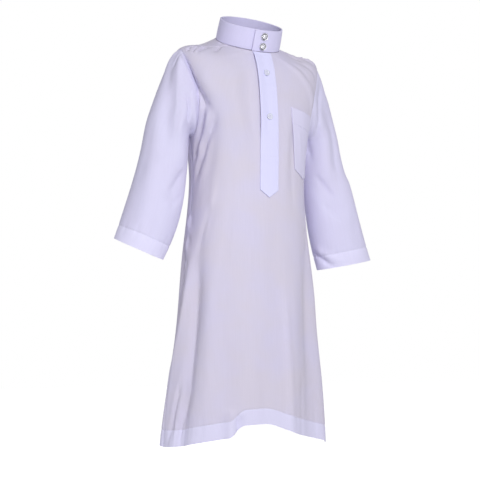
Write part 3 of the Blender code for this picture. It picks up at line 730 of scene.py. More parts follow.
CUFF_HEIGHT = 27 * MM
SLEEVE_COLUMNS = ("out", "back", "z", "half_width", "half_depth", "tip", "front_drop")
SLEEVE_RIGHT = {
    "top": (155.6, 9, -165.9, 40, 40, 18, 0),
    "upper arm": (160, 9, -205, 42, 42, 15, 0),
    "elbow": (169, 8, -256, 46, 44, 15, 3),
    "forearm": (188, 7, -325, 49, 45, 19, 9),
    "cuff": (210.5, 6, -379, 46, 41, 20, 14),
}
SLEEVE_LEFT = {
    "top": (153.6, 9, -167, 38, 39, 18, 0),
    "upper arm": (158, 9, -207, 41, 40, 16, 0),
    "elbow": (171, 8, -262, 46, 40, 15, 0),
    "forearm": (188, 7, -334, 53, 38, 13, 0),
    "cuff": (207, 6, -396, 56, 34, 11, 0),
}
UNDERARM_HINGE = (109 * MM, -181 * MM)
CAP_DRAW = 2.5
CAP_STEPS = (0, 0.09, 0.2, 0.34, 0.5, 0.68, 0.85)
SLEEVE_STEPS = 15
SLEEVE_SMOOTHING = 2
SLEEVE_FOLD_COLUMNS = ("top_turn", "top_along", "bottom_turn", "bottom_along", "half_width", "depth")
SLEEVE_FOLDS = {
    "front trough": (60, 0.02, 72, 0.43, 16, -4),
    "front flap": (98, 0.1, 112, 0.45, 16, 3),
    "elbow trough": (125, 0.5, 98, 0.7, 16, -4),
    "forearm ridge": (45, 0.5, 65, 0.98, 18, 3),
    "back trough": (288, 0.05, 268, 0.5, 16, -4.5),
    "back elbow trough": (230, 0.5, 258, 0.72, 15, -4),
}
SLEEVE_FOLD_FADE = 0.09

# The right sleeve's cloth hangs from its head in a flap: the line of its edge, how wide its foot is, how far
# behind the edge it falls away, how high the edge stands, and over what share of the line it runs out.
FLAP_LINE = ((18, -0.1), (29, 0.0), (46, 0.08), (68, 0.17), (82, 0.28), (90, 0.42))
FLAP_FOOT = 8.5 * MM
FLAP_BACK = 24 * MM
FLAP_HEIGHT = 8 * MM
FLAP_FADE = 0.45

# Creases as points of degrees round the sleeve from its outer side to the front and shares of its length.
SLEEVE_CREASES = {
    "right": {
        "dark band": (((0, -0.14), (6, 0.0), (22, 0.08), (45, 0.17), (60, 0.28), (70, 0.42)), 15, -4.5, 0.0),
        "head puff": (((2, -0.06), (0, 0.04), (358, 0.14)), 15, 5.5, 0.0),
        "head dip": (((24, -0.02), (26, 0.03), (28, 0.07)), 5, -3.0, 0.0),
        "flap edge": (((66, 0.11), (80, 0.1), (93, 0.125), (104, 0.165), (110, 0.2)), 3.8, -4.4, 0.3),
        "below the flap": (((84, 0.15), (92, 0.22), (96, 0.33)), 6, 2.6, 0.0),
        "armpit": (((140, 0.1), (150, 0.2), (140, 0.32)), 6, -2.2, 0.0),
        "elbow, front": (((132, 0.47), (108, 0.56), (92, 0.64)), 6, -2.0, 0.2),
        "elbow, low": (((138, 0.6), (118, 0.67), (100, 0.72)), 5, -1.6, 0.0),
        "forearm": (((76, 0.66), (80, 0.78), (84, 0.92)), 8, -1.4, 0.0),
        "outer, faint": (((18, 0.2), (22, 0.42), (20, 0.66)), 9, -1.0, 0.0),
        "back, upper": (((290, 0.04), (282, 0.2), (272, 0.42)), 7, -2.6, 0.3),
        "back, elbow": (((222, 0.48), (240, 0.58), (258, 0.68)), 6, -2.2, 0.0),
        "back, elbow, low": (((232, 0.62), (252, 0.7), (270, 0.76)), 5, -1.8, 0.0),
        "back, forearm": (((300, 0.6), (294, 0.76), (290, 0.96)), 9, -1.4, 0.0),
    },
    "left": {
        "head, low": (((0, -0.08), (5, 0.03), (8, 0.13)), 17, -5.5, 0.0),
        "dark line": (((36, 0.015), (58, 0.05), (84, 0.085), (108, 0.13), (126, 0.19)), 4.2, -3.2, -0.3),
        "light strip": (((66, 0.015), (96, 0.05), (122, 0.1), (142, 0.15)), 6, 1.8, 0.0),
        "upper, long": (((52, 0.1), (64, 0.25), (76, 0.42), (88, 0.6)), 9, -2.0, 0.2),
        "outer": (((14, 0.12), (22, 0.32), (30, 0.55)), 9, -1.4, 0.0),
        "armpit": (((150, 0.12), (152, 0.24), (144, 0.36)), 6, -2.2, 0.0),
        "elbow, front": (((140, 0.42), (116, 0.52), (98, 0.6)), 6, -2.0, 0.2),
        "elbow, low": (((134, 0.6), (112, 0.67), (96, 0.75)), 6, -1.6, 0.0),
        "cuff, diagonal": (((196, 0.86), (164, 0.92), (126, 1.0)), 5, -3.0, 0.3),
        "cuff, beside it": (((172, 0.85), (142, 0.92), (108, 0.98)), 7, 2.6, 0.0),
        "forearm": (((60, 0.68), (66, 0.82), (64, 0.97)), 8, -1.6, 0.0),
        "back, upper": (((296, 0.05), (284, 0.22), (270, 0.44)), 7, -2.4, 0.3),
        "back, elbow": (((226, 0.46), (244, 0.56), (262, 0.66)), 6, -2.2, 0.0),
        "back, forearm": (((306, 0.62), (300, 0.78), (296, 0.96)), 9, -1.4, 0.0),
    },
}

# Gathers at the cuff's stitches: degrees round the sleeve, half width in degrees and depth in millimetres.
CUFF_GATHER_REACH = 13 * MM
SLEEVE_GATHERS = (
    (20, 5, -0.7), (52, 4, -0.9), (88, 5, -0.6), (121, 4, -0.9), (150, 5, -0.8),
    (186, 4, -1.0), (222, 5, -0.7), (262, 4, -0.8), (301, 5, -0.6), (338, 4, -0.8),
)


def armhole_ring(side, turn):
    """The sleeve's first ring and its normals: the armhole's edge, a seam's gap inside the hole."""
    which = "left" if side > 0 else "right"

    def edge(at):
        reach = np.where(np.sin(at) > 0, ARMHOLE_REACH[which + " front"], ARMHOLE_REACH[which + " back"])
        angle = reach * np.sin(at)
        return (angle if side > 0 else math.pi - angle), armhole_down(at)

    point, _ = cloth(*edge(turn))
    normal = normals_of(plain_cloth, *edge(turn))
    along = unit(cloth(*edge(turn + 0.01))[0] - cloth(*edge(turn - 0.01))[0])
    inward = unit(np.cross(normal, along))
    middle = point.mean(axis=0)
    inward *= np.sign(np.sum(inward * (middle - point), axis=-1))[:, None]
    return point + inward * SEAM_GAP, normal


def sleeve_rings(side, table, turn):
    """The smooth rings: a cap that turns about the underarm, then stations down the arm, read along a spline
    through each of the rings' points."""
    first, first_normal = armhole_ring(side, turn)
    out = first[:, 0] * side
    hinge_x, hinge_z = UNDERARM_HINGE
    start_reach = np.hypot(out - hinge_x, first[:, 2] - hinge_z)
    start_tip = np.arctan2(out - hinge_x, first[:, 2] - hinge_z)
    top = dict(zip(SLEEVE_COLUMNS, table["top"]))
    end_reach = math.hypot(top["out"] * MM - hinge_x, top["z"] * MM - hinge_z)
    end_reach = end_reach + top["half_width"] * MM * np.cos(turn)
    end_tip = math.pi / 2 - top["tip"] * DEGREE
    end_y = top["back"] * MM - top["half_depth"] * MM * np.sin(turn)
    rings = []
    for share in CAP_STEPS:
        drawn = 1 - (1 - share) ** CAP_DRAW
        tip = start_tip + (end_tip - start_tip) * share
        reach = start_reach + (end_reach - start_reach) * drawn
        y = first[:, 1] + (end_y - first[:, 1]) * drawn
        rings.append(
            np.stack([(hinge_x + reach * np.sin(tip)) * side, y, hinge_z + reach * np.cos(tip)], axis=-1)
        )
    stations = distances(*(column(table, SLEEVE_COLUMNS, name) for name in ("out", "back", "z")))
    cuff_start = stations[-1] - CUFF_HEIGHT / MM
    places = np.concatenate([np.linspace(0, cuff_start, SLEEVE_STEPS - 1), [cuff_start + 2, stations[-1]]])
    for place in places:
        at = {
            name: float(spline(stations, column(table, SLEEVE_COLUMNS, name), np.array(place)))
            for name in SLEEVE_COLUMNS
        }
        tip = at["tip"] * DEGREE
        width = at["half_width"] * np.cos(turn)
        depth = at["half_depth"] * np.sin(turn)
        drop = at["front_drop"] * DEGREE
        rings.append(
            MM
            * np.stack(
                [
                    (at["out"] + width * math.cos(tip)) * side,
                    at["back"] - depth * math.cos(drop),
                    at["z"] + width * math.sin(tip) - depth * math.sin(drop),
                ],
                axis=-1,
            )
        )
    rings = np.array(rings)
    for _ in range(SLEEVE_SMOOTHING):
        rings[2:-3] = (rings[1:-4] + 2 * rings[2:-3] + rings[3:-2]) / 4
    length = distances(*rings.mean(axis=1).T)
    stitch_row = length[-2] - 1 * MM
    fine = np.concatenate(
        [
            np.linspace(0, 4 * MM, 5)[:-1],
            np.linspace(4 * MM, stitch_row - 4 * MM, 108)[:-1],
            np.linspace(stitch_row - 4 * MM, stitch_row + 4 * MM, 9),
            np.linspace(stitch_row + 6 * MM, length[-1] - 1 * MM, 8),
            length[-1:],
        ]
    )
    return spline(length, rings, fine), fine, stitch_row, first_normal


def sleeve(name, side, table, creases, surface):
    """A set-in sleeve with its folds and a turned-up cuff edge."""
    turn = np.arange(2 * ARMHOLE_ROWS) * math.pi / ARMHOLE_ROWS
    rings, length, stitch_row, first_normal = sleeve_rings(side, table, turn)
    along = np.repeat((length / length[-1])[:, None], len(turn), axis=1)
    radius = np.linalg.norm(rings - rings.mean(axis=1)[:, None], axis=-1)
    push = np.zeros(radius.shape)

    def beside(line):
        """The distances round and down the sleeve from the middle of a line of points, and the line there."""
        middle = line[len(line) // 2][0] * DEGREE
        places = [((at * DEGREE - middle) * radius, share * length[-1]) for at, share in line]
        return signed_turn(turn, middle) * radius, along * length[-1], places

    for row in SLEEVE_FOLDS.values():
        fold = dict(zip(SLEEVE_FOLD_COLUMNS, row))
        share = (along - fold["top_along"]) / (fold["bottom_along"] - fold["top_along"])
        centre = fold["top_turn"] + np.clip(share, 0, 1) * (fold["bottom_turn"] - fold["top_turn"])
        gap = signed_turn(turn, centre * DEGREE) * radius
        ends = ramp((along - fold["top_along"]) / SLEEVE_FOLD_FADE + 0.5)
        ends = ends * ramp((fold["bottom_along"] - along) / SLEEVE_FOLD_FADE + 0.5)
        push = push + fold["depth"] * MM * bell(gap / (fold["half_width"] * MM)) * ends
    for line, half_width, depth, steeper in creases.values():
        push = push + depth * MM * crease(*beside(line), half_width * MM, steeper)
    if side < 0:
        gap, share, which = along_line(*beside(FLAP_LINE))
        edge = np.where(which < 0, np.exp(-gap / FLAP_FOOT), bell(gap / FLAP_BACK))
        push = push + FLAP_HEIGHT * edge * ramp((1 - share) / FLAP_FADE)
    push = push * ramp(length / (6 * MM))[:, None]
    push = push - STITCH_SINK * bell((length - stitch_row) / STITCH_DIP)[:, None]
    gathers = np.zeros(len(turn))
    for at, half_width, depth in SLEEVE_GATHERS:
        gathers += depth * MM * bell(signed_turn(turn, at * DEGREE) / (half_width * DEGREE))
    push = push + gathers * bell((length - stitch_row) / CUFF_GATHER_REACH)[:, None]
    outer = rings + side * grid_normals(rings, True) * push[..., None]
    outer = outer - first_normal * (SEAM_SINK * bell(length / SEAM_WIDTH))[:, None, None]
    normal = side * grid_normals(outer, True)
    normal[0] = first_normal
    cuff, thickness = turned_up(length - stitch_row)
    layers = np.repeat(np.maximum(cuff, seam_allowance(length))[:, None], len(turn), axis=1)
    inner = outer - normal * thickness[:, None, None]
    made = shell(name, outer, inner, surface, layers, closed=True)
    row = int(np.argmin(np.abs(length - stitch_row)))
    return made, outer[row], normal[row]


# Painted light: the sleeves get a lighter, bluer copy of the body's poplin, the same cloth drawn brighter on
# the sleeves than on the body.
SLEEVE_POPLIN_PAINTED_LIGHTER = poplin("poplin, sleeves", "#e3e0fa", "#e3dff9", "#e5e2fd", 0.12)
sleeve_right, cuff_line_right, cuff_normal_right = sleeve(
    "right_sleeve", -1, SLEEVE_RIGHT, SLEEVE_CREASES["right"], SLEEVE_POPLIN_PAINTED_LIGHTER
)
sleeve_left, cuff_line_left, cuff_normal_left = sleeve(
    "left_sleeve", 1, SLEEVE_LEFT, SLEEVE_CREASES["left"], SLEEVE_POPLIN_PAINTED_LIGHTER
)
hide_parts("sleeve_right")
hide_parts("sleeve_left")

# Collar
# A stand collar: two layers of poplin over a stiff interlining, folded at the top edge and sewn to the neck.
# Its outer end laps over the inner end towards the wearer's right, where the studs hold it.

COLLAR_WALL = 2.4 * MM
COLLAR_HEIGHT = 38 * MM
COLLAR_TOP_DRAW_IN = 1.5 * MM
COLLAR_LEAN = 24 * DEGREE
COLLAR_LAP = 19 * MM
COLLAR_ROUND = 0.9 * MM
COLLAR_LAP_LIFT = 2.0 * MM
COLLAR_TUCK_START = -1.05 * math.pi
COLLAR_TUCK_REACH = 0.25 * math.pi


def neck_frame():
    """The neck ring's directions: towards the front within its plane, and up along the collar."""
    forward = np.array([0, -math.cos(COLLAR_LEAN), -math.sin(COLLAR_LEAN)])
    up = np.array([0, -math.sin(COLLAR_LEAN), math.cos(COLLAR_LEAN)])
    return forward, up


def collar_point(angle, height, inset):
    """A point of the collar's outer face, drawn in towards the top and by the inset."""
    forward, up = neck_frame()
    radius = TORSO["neck"][0] * MM - inset - COLLAR_TOP_DRAW_IN * height / COLLAR_HEIGHT
    across = np.stack([np.cos(angle), np.zeros_like(angle), np.zeros_like(angle)], axis=-1)
    return (
        radius[..., None] * (across + np.sin(angle)[..., None] * forward)
        + (height + SEAM_GAP)[..., None] * up
    )


def soften(piece, width, segments=3):
    """Rounds the edges where a piece's faces meet squarely."""
    bevel = piece.modifiers.new("soft edge", "BEVEL")
    bevel.width = width
    bevel.segments = segments
    bevel.limit_method = "ANGLE"
    bevel.angle_limit = 55 * DEGREE


def collar(surface):
    """The band round the neck: two grids at the wall's distance. Its outer face swells and dips a little, as
    stiffened cloth does, and the outer end stands off the inner one, most in its lower part."""
    lap = COLLAR_LAP / (TORSO["neck"][0] * MM)
    outer_end = math.pi / 2 + lap
    inner_end = math.pi / 2 - lap - 2 * math.pi
    angle = np.linspace(outer_end, inner_end, 260)
    tuck = (COLLAR_WALL + SEAM_GAP) * ramp((COLLAR_TUCK_START - angle) / COLLAR_TUCK_REACH)
    height = np.concatenate([[0, 0.8], np.linspace(2, 36, 16), [37.2, 38]]) * MM
    angle, height = np.meshgrid(angle, height)
    rise = height / COLLAR_HEIGHT
    swell = 0.35 * MM * np.sin(2.3 * angle + 1.2 * rise) * np.sin(math.pi * rise)
    swell = swell + 0.25 * MM * np.sin(5.1 * angle + 0.6) * rise
    lift = COLLAR_LAP_LIFT * bell((outer_end - angle) / 0.16) * (0.4 + 0.6 * bell((rise - 0.25) / 0.4))
    waist = 0.15 * MM * bell((height - 3 * MM) / (2.2 * MM))
    outer = collar_point(angle, height, tuck - swell - lift + waist)
    inner = collar_point(angle, height, tuck + COLLAR_WALL - lift)
    return shell("stand_collar", outer, inner, surface, np.ones(angle.shape))


DOUBLED_POPLIN = poplin("poplin, interlined", "#dad6f5", "#dad6f5", "#dad6f5", 0.0)
stand_collar = collar(DOUBLED_POPLIN)
soften(stand_collar, COLLAR_ROUND)
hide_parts("collar")

# Placket
# The button strip down the front's middle: a folded and interlined poplin band with a pointed end, stitched
# along its edges and boxed off above the point. Its right edge stands a little off the front.

LAID_GAP = 0.4 * MM
PLACKET_WIDTH = 36 * MM
PLACKET_LENGTH = 252 * MM
PLACKET_POINT = 13 * MM
PLACKET_WALL = 1.6 * MM
PLACKET_START = 2 * MM
PLACKET_LIFT = 2.8 * MM
PLACKET_LIFT_END = 175 * MM
PLACKET_BOX = 0.765
PLACKET_RIDGES = ((193, 0.5), (200, 0.4), (66, 0.5), (148, 0.4))


def front_down(length):
    """The distance down the side of the level that lies this far down the front's middle line."""
    down = np.linspace(0, HEM_DOWN, 400)
    line = torso(np.full(400, math.pi / 2), down)
    return np.interp(length, distances(*line.T), down)


def round_front(across, down):
    """The angle of the front's point that lies across from the middle, measured along the cloth.

    A positive across runs to the wearer's left. The cloth's length round the section is added up in small
    steps from the middle, and the angle is read where that length reaches across.
    """
    steps = np.linspace(0, math.pi / 2, 91)
    side = np.where(across < 0, -1, 1)
    line = torso(math.pi / 2 - side[..., None] * steps, down[..., None] + 0 * steps)
    pieces = np.linalg.norm(np.diff(line, axis=-2), axis=-1)
    reached = np.concatenate([0 * pieces[..., :1], np.cumsum(pieces, axis=-1)], axis=-1)
    target = np.abs(across)[..., None]
    last = np.clip(np.sum(reached < target, axis=-1, keepdims=True), 1, len(steps) - 1)
    after = np.take_along_axis(reached, last, axis=-1)
    before = np.take_along_axis(reached, last - 1, axis=-1)
    place = (last - 1 + (target - before) / (after - before)) * steps[1]
    return math.pi / 2 - side * place[..., 0]


def at_height(across, height):
    """Angle and down of the front's points that lie across from the middle and at a height."""
    down = front_down(-height)
    for _ in range(8):
        angle = round_front(across, down)
        down = down + torso(angle, down)[..., 2] - height
    return angle, down


def laid_on(name, angle, down, thickness, lift, surface):
    """A piece that lies on the front: a grid of the front's points, moved out by a gap and its own lift."""
    normal = normals_of(plain_cloth, angle, down)
    inner = plain_cloth(angle, down) + normal * (LAID_GAP + lift)[..., None]
    outer = inner + normal * thickness[..., None]
    return shell(name, outer, inner, surface, np.ones(angle.shape)), outer, normal


def placket_grid(share_across, share_down):
    """Angle and down on the front of places on the placket, across from -1 to 1 and down from 0 to 1."""
    across = -share_across * PLACKET_WIDTH / 2
    length = share_down * (PLACKET_LENGTH + PLACKET_POINT * (1 - np.abs(share_across)))
    down = front_down(PLACKET_START + length)
    return round_front(across, down), down, length


def placket_lift(share_across, length):
    """The right edge stands off the front between the collar and the boxed end, and the strip has four faint
    ridges across."""
    edge = ramp((share_across - 0.1) / 0.9)
    upper = ramp(length / (12 * MM)) * ramp((PLACKET_LIFT_END - length) / (45 * MM))
    lift = PLACKET_LIFT * edge * upper
    for at, depth in PLACKET_RIDGES:
        slanted = (length - at * MM + 3 * MM * share_across) / (3.4 * MM)
        lift = lift + depth * MM * bell(slanted)
    return lift


def placket(surface):
    """The strip on the front: rows down it, and columns closer together at its edges."""
    share_across = np.concatenate([[-1, -0.97], np.linspace(-0.9, 0.9, 19), [0.97, 1]])
    share_down = np.linspace(0, 1, 130)
    share_across, share_down = np.meshgrid(share_across, share_down)
    angle, down, length = placket_grid(share_across, share_down)
    lift = placket_lift(share_across, length)
    sunk = 0.35 * MM * bell((1 - np.abs(share_across)) * PLACKET_WIDTH / 2 / MM - 2.5)
    thickness = np.full(angle.shape, PLACKET_WALL) - sunk
    return laid_on("button_placket", angle, down, thickness, lift, surface)[0]


PLACKET_POPLIN = poplin("poplin, placket", "#dcdbfb", "#dcdbfb", "#dcdbfb", 0.0)
button_placket = placket(PLACKET_POPLIN)
soften(button_placket, 0.5 * MM, 2)
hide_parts("placket")

# Chest pocket
# A patch pocket of the same poplin on the wearer's left breast: its edges turned under and stitched, its
# mouth turned down inside as a deep hem, and its lower end pointed. The creases are points across and down in
# millimetres, then half width and height.

POCKET_WIDTH = 55 * MM
POCKET_HEIGHT = 110 * MM
POCKET_POINT = 9 * MM
POCKET_TILT = 0.2
POCKET_SLANT = 0.09
POCKET_WALL = 1.2 * MM
POCKET_HEM = 28 * MM
POCKET_INNER_EDGE = 47 * MM
POCKET_TOP = -123 * MM
POCKET_GAPE = 1.3 * MM
POCKET_CREASES = (
    (((14, 34), (18, 56), (22, 92)), 4.5, 0.9),
    (((30, 40), (33, 66), (36, 100)), 5.0, 0.7),
    (((47, 36), (46, 62), (44, 84)), 4.5, 0.8),
)


def pocket_grid(share_across, row):
    """Angle and down on the front of places on the pocket, across from 0 to 1 and down by a distance."""
    across = POCKET_INNER_EDGE + share_across * POCKET_WIDTH + POCKET_SLANT * row
    point = POCKET_POINT * (1 - np.abs(2 * share_across - 1)) * row / POCKET_HEIGHT
    height = POCKET_TOP - row - point - POCKET_TILT * share_across * POCKET_WIDTH
    return at_height(across, height)


def pocket_gape(share_across, row):
    """How far the pocket stands off the front, most at the middle of its mouth."""
    return POCKET_GAPE * np.sin(math.pi * share_across) ** 2 * bell(row / (32 * MM))


def chest_pocket(surface):
    """The patch: it swells a little off the front, most at its mouth, and is thicker in its hem."""
    row = np.concatenate(
        [[0, 1], np.linspace(3, 26, 10), [27, 27.5, 28, 28.5, 29], np.linspace(31, 107, 34), [109, 110]]
    )
    share_across = np.concatenate([[0, 0.02], np.linspace(0.05, 0.95, 34), [0.98, 1]])
    share_across, row = np.meshgrid(share_across, row * MM)
    middle = np.sin(math.pi * share_across)
    lift = pocket_gape(share_across, row)
    off = share_across * POCKET_WIDTH
    for line, half_width, depth in POCKET_CREASES:
        places = [(a * MM, b * MM) for a, b in line]
        lift = lift + depth * MM * crease(off, row, places, half_width * MM, 0.0) * middle**0.5
    thickness = np.where(row < POCKET_HEM, POCKET_WALL + 0.5 * MM, POCKET_WALL)
    thickness = thickness - 0.35 * MM * bell((row - POCKET_HEM) / (0.9 * MM))
    return laid_on("breast_pocket", *pocket_grid(share_across, row), thickness, lift, surface)[0]


POCKET_POPLIN = poplin("poplin, pocket", "#d9d5ef", "#d9d5ef", "#d9d5ef", 0.0)
breast_pocket = chest_pocket(POCKET_POPLIN)
soften(breast_pocket, 0.4 * MM, 2)
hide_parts("chest_pocket")

# Stitching
# Rows of lockstitch in white polyester thread: at the hem, cuffs, placket, pocket and shoulder seams.
# Real stitches are 2.5 mm long and 0.25 mm thick. They are drawn 0.5 mm thick, which still shows in a view.

STITCH_PITCH = 2.8 * MM
STITCH_LENGTH = 2.2 * MM
STITCH_THICK = 0.5 * MM


def thread_material():
    """Polyester sewing thread: twisted, so its colour wavers along it, with a slight gloss."""
    made, tree, shader, where = start_material("polyester thread")
    colour = mixed(tree, noise(tree, where, 900.0, 1.0), linear("#d0cce2"), linear("#e6e4f6"))
    feed(tree, shader, {"Base Color": colour, "Roughness": 0.5, "Sheen Weight": 0.2})
    return made


def stitch_row(name, line, normal, closed=False):
    """Stitches along a line on the cloth: each is a six-sided bead from one needle hole to the next, a row
    of three rings between two points."""
    if closed:
        line = np.concatenate([line, line[:1]])
        normal = np.concatenate([normal, normal[:1]])
    along = distances(*line.T)
    count = max(int(along[-1] / STITCH_PITCH), 1)
    centre_at = (np.arange(count) + 0.5) * along[-1] / count

    def read(values, at):
        return np.stack([np.interp(at, along, values[:, k]) for k in range(3)], axis=-1)

    centre = read(line, centre_at)
    out = unit(read(normal, centre_at))
    run = unit(read(line, centre_at + STITCH_LENGTH / 2) - read(line, centre_at - STITCH_LENGTH / 2))
    out = unit(out - run * np.sum(out * run, axis=-1, keepdims=True))
    aside = np.cross(run, out)
    turn = np.arange(6) * math.pi / 3
    points = [centre - run * STITCH_LENGTH / 2]
    for share, size in ((-0.32, 0.8), (0.0, 1.0), (0.32, 0.8)):
        for at in turn:
            round_it = out * (math.cos(at) + 0.4) + aside * math.sin(at) * 1.2
            points.append(centre + run * STITCH_LENGTH * share + round_it * STITCH_THICK / 2 * size)
    points.append(centre + run * STITCH_LENGTH / 2)
    each = len(points)
    points = np.stack(points, axis=1).reshape(-1, 3)
    ring = np.arange(1, 19).reshape(3, 6)
    bands = grid_faces(ring, True)
    following = np.roll(ring, -1, axis=1)
    ends = [(0, b, a) for a, b in zip(ring[0], following[0])]
    ends += [(19, a, b) for a, b in zip(ring[-1], following[-1])]
    faces = []
    for start in range(0, count * each, each):
        faces += [tuple(start + face) for face in bands]
        faces += [tuple(start + k for k in face) for face in ends]
    return add_object(name, points, faces, THREAD)


THREAD = thread_material()


def body_stitches(name, angle, down):
    """A row of stitches on the body's cloth along angles and distances down."""
    line, normal = cloth(angle, down)
    return stitch_row(name, line, normal)


hem_turn = np.linspace(0, math.pi, 400) + 0.004
hem_down = np.full(400, HEM_DOWN - HEM_HEIGHT)
stitches = {
    "front": [body_stitches("hem_stitches_front", hem_turn, hem_down)],
    "back": [body_stitches("hem_stitches_back", hem_turn + math.pi, hem_down)],
    "right sleeve": [stitch_row("cuff_stitches_right", cuff_line_right, cuff_normal_right, True)],
    "left sleeve": [stitch_row("cuff_stitches_left", cuff_line_left, cuff_normal_left, True)],
    "placket": [],
    "pocket": [],
}
seam_down = np.linspace(2 * MM, SHOULDER_DOWN, 60)
for seam_name, seam_angle in (
    ("shoulder_stitches_right", math.pi - seam_line(seam_down) + 0.03),
    ("shoulder_stitches_left", seam_line(seam_down) - 0.03),
):
    stitches["front"].append(body_stitches(seam_name, seam_angle, seam_down))


def placket_line(share_across, share_down):
    """Places on the placket's face."""
    angle, down, length = placket_grid(share_across, share_down)
    normal = normals_of(plain_cloth, angle, down)
    lift = LAID_GAP + placket_lift(share_across, length) + PLACKET_WALL - 0.2 * MM
    return plain_cloth(angle, down) + normal * lift[..., None], normal


steps = np.linspace(0, 1, 120)
ones = np.ones(120)
edge_share = 1 - 2 * 2.5 * MM / PLACKET_WIDTH
edge_to_edge = edge_share * (1 - 2 * steps)
point_row = 1 - 3 * MM / PLACKET_LENGTH
box_row = PLACKET_BOX * PLACKET_LENGTH / (PLACKET_LENGTH + PLACKET_POINT * (1 - np.abs(edge_to_edge)))
for row_name, (row_across, row_down) in {
    "placket_stitches_right": (ones * edge_share, point_row * steps),
    "placket_stitches_left": (-ones * edge_share, point_row * steps),
    "placket_stitches_point": (edge_to_edge, ones * point_row),
    "placket_stitches_box": (edge_to_edge, box_row),
}.items():
    stitches["placket"].append(stitch_row(row_name, *placket_line(row_across, row_down)))


def pocket_line(share_across, row):
    """Places on the pocket's face, near enough to its edges to leave out its lift."""
    angle, down = pocket_grid(share_across, row)
    normal = normals_of(plain_cloth, angle, down)
    lift = LAID_GAP + POCKET_WALL - 0.1 * MM + pocket_gape(share_across, row)
    return plain_cloth(angle, down) + normal * lift[..., None], normal


pocket_side = 2.2 * MM / POCKET_WIDTH
pocket_low = POCKET_HEIGHT - 2.5 * MM
side_to_side = pocket_side + steps * (1 - 2 * pocket_side)
for row_name, (row_across, row_place) in {
    "pocket_stitches_inner": (ones * pocket_side, steps * pocket_low),
    "pocket_stitches_outer": (ones * (1 - pocket_side), steps * pocket_low),
    "pocket_stitches_lower": (side_to_side, ones * pocket_low),
    "pocket_stitches_hem": (side_to_side, ones * POCKET_HEM),
}.items():
    stitches["pocket"].append(stitch_row(row_name, *pocket_line(row_across, row_place)))

# Collar studs
# Two snap studs of silver-coloured metal, die struck with petals inside a rim, the hollows left dark.
# They hold the lapped ends of the collar.

STUD_DIAMETER = 13.6 * MM
STUD_RINGS = 26
STUD_HEIGHTS = {"collar_stud_upper": 27.5 * MM, "collar_stud_lower": 9.5 * MM}
PETALS = 8


def struck_metal():
    """Silver plate over a struck brass cap: bright on the raised parts, dark patina in the hollows."""
    made, tree, shader, where = start_material("silver plate, struck")
    grain = noise(tree, where, 700.0, 3.0)
    look = {
        "Base Color": mixed(tree, attribute(tree, "hollow"), linear("#e6e6ea"), linear("#6e6c78")),
        "Roughness": ranged(tree, grain, 0.2, 0.42),
        "Metallic": 1.0,
        "Normal": bump(tree, grain, 0.2, 0.05 * MM),
    }
    feed(tree, shader, look)
    return made


def upward(axis):
    """The direction square to an axis that points most nearly up."""
    return unit(np.array([0.0, 0.0, 1.0]) - axis * axis[2])


def disc(name, centre, axis, radii, heights, surface, hollow=None):
    """A round piece: heights is a function of radius and turn for its face, over a flat back. The radii run
    from the middle of the face to the rim and back to the middle of the underside. hollow tells, in the same
    way, how far a place of the face lies in a hollow."""
    sides = 64
    second = upward(axis)
    first = np.cross(second, axis)
    turn = np.arange(sides) * 2 * math.pi / sides
    circle = np.cos(turn)[:, None] * first + np.sin(turn)[:, None] * second
    rings = []
    marks = []
    for radius, height in zip(radii, heights):
        rise = height(radius, turn) if callable(height) else np.full(sides, height)
        rings.append(centre + circle * radius + rise[:, None] * axis)
        marks.append(hollow(radius, turn) if hollow and callable(height) else np.zeros(sides))
    top = centre + axis * np.mean(heights[0](radii[0], turn))
    points = np.concatenate([[top], np.concatenate(rings), [centre + axis * heights[-1]]])
    ids = np.arange(len(rings) * sides).reshape(-1, sides) + 1
    faces = [tuple(face) for face in grid_faces(ids, True)]
    following = np.roll(ids, -1, axis=1)
    faces += [(0, b, a) for a, b in zip(ids[0], following[0])]
    faces += [(len(points) - 1, a, b) for a, b in zip(ids[-1], following[-1])]
    made = add_object(name, points, faces, surface)
    mark = np.concatenate([[marks[0].mean()], np.concatenate(marks), [0]])
    made.data.attributes.new("hollow", "FLOAT", "POINT").data.foreach_set("value", mark)
    return made


def stud_height(radius, turn):
    """The stud's face: a rounded rim, a hollow ring inside it, petals on a low dome and a middle bead."""
    r = radius / (STUD_DIAMETER / 2)
    rim = 1.9 * bell((r - 0.9) / 0.09)
    dome = 1.9 * (1 - r**2) + 0.5
    petal = 0.75 * np.maximum(np.cos(PETALS / 2 * turn) ** 2 - 0.25, 0) * bell((r - 0.54) / 0.17)
    bead = 0.6 * bell(r / 0.17)
    valley = 0.75 * bell((r - 0.75) / 0.06) + 0.3 * bell((r - 0.29) / 0.05)
    return (dome * 0.75 + rim * 0.5 + petal + bead - valley) * MM


def stud_hollow(radius, turn):
    """1 in the hollows between petals and inside the rim, 0 on the raised parts."""
    r = radius / (STUD_DIAMETER / 2)
    between = (1 - np.cos(PETALS / 2 * turn) ** 2) ** 0.7 * bell((r - 0.56) / 0.17)
    return np.clip(between + bell((r - 0.76) / 0.07) + 0.7 * bell((r - 0.29) / 0.06), 0, 1)


STUD_METAL = struck_metal()
stud_radii = np.concatenate([np.linspace(0.05, 0.98, STUD_RINGS), [1.0, 0.97, 0.86, 0.4]])
stud_radii = stud_radii * STUD_DIAMETER / 2
stud_heights = [stud_height] * STUD_RINGS + [1.3 * MM, 0.6 * MM, 0.0, 0.0]
forward, up = neck_frame()
stud_axis = unit(forward + up * COLLAR_TOP_DRAW_IN / COLLAR_HEIGHT)
for node, height in STUD_HEIGHTS.items():
    stud_centre = collar_point(np.array(math.pi / 2), np.array(height), np.array(0.0)) + stud_axis * SEAM_GAP
    stud = disc(node + "_cap", stud_centre, stud_axis, stud_radii, stud_heights, STUD_METAL, stud_hollow)
    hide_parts(node)

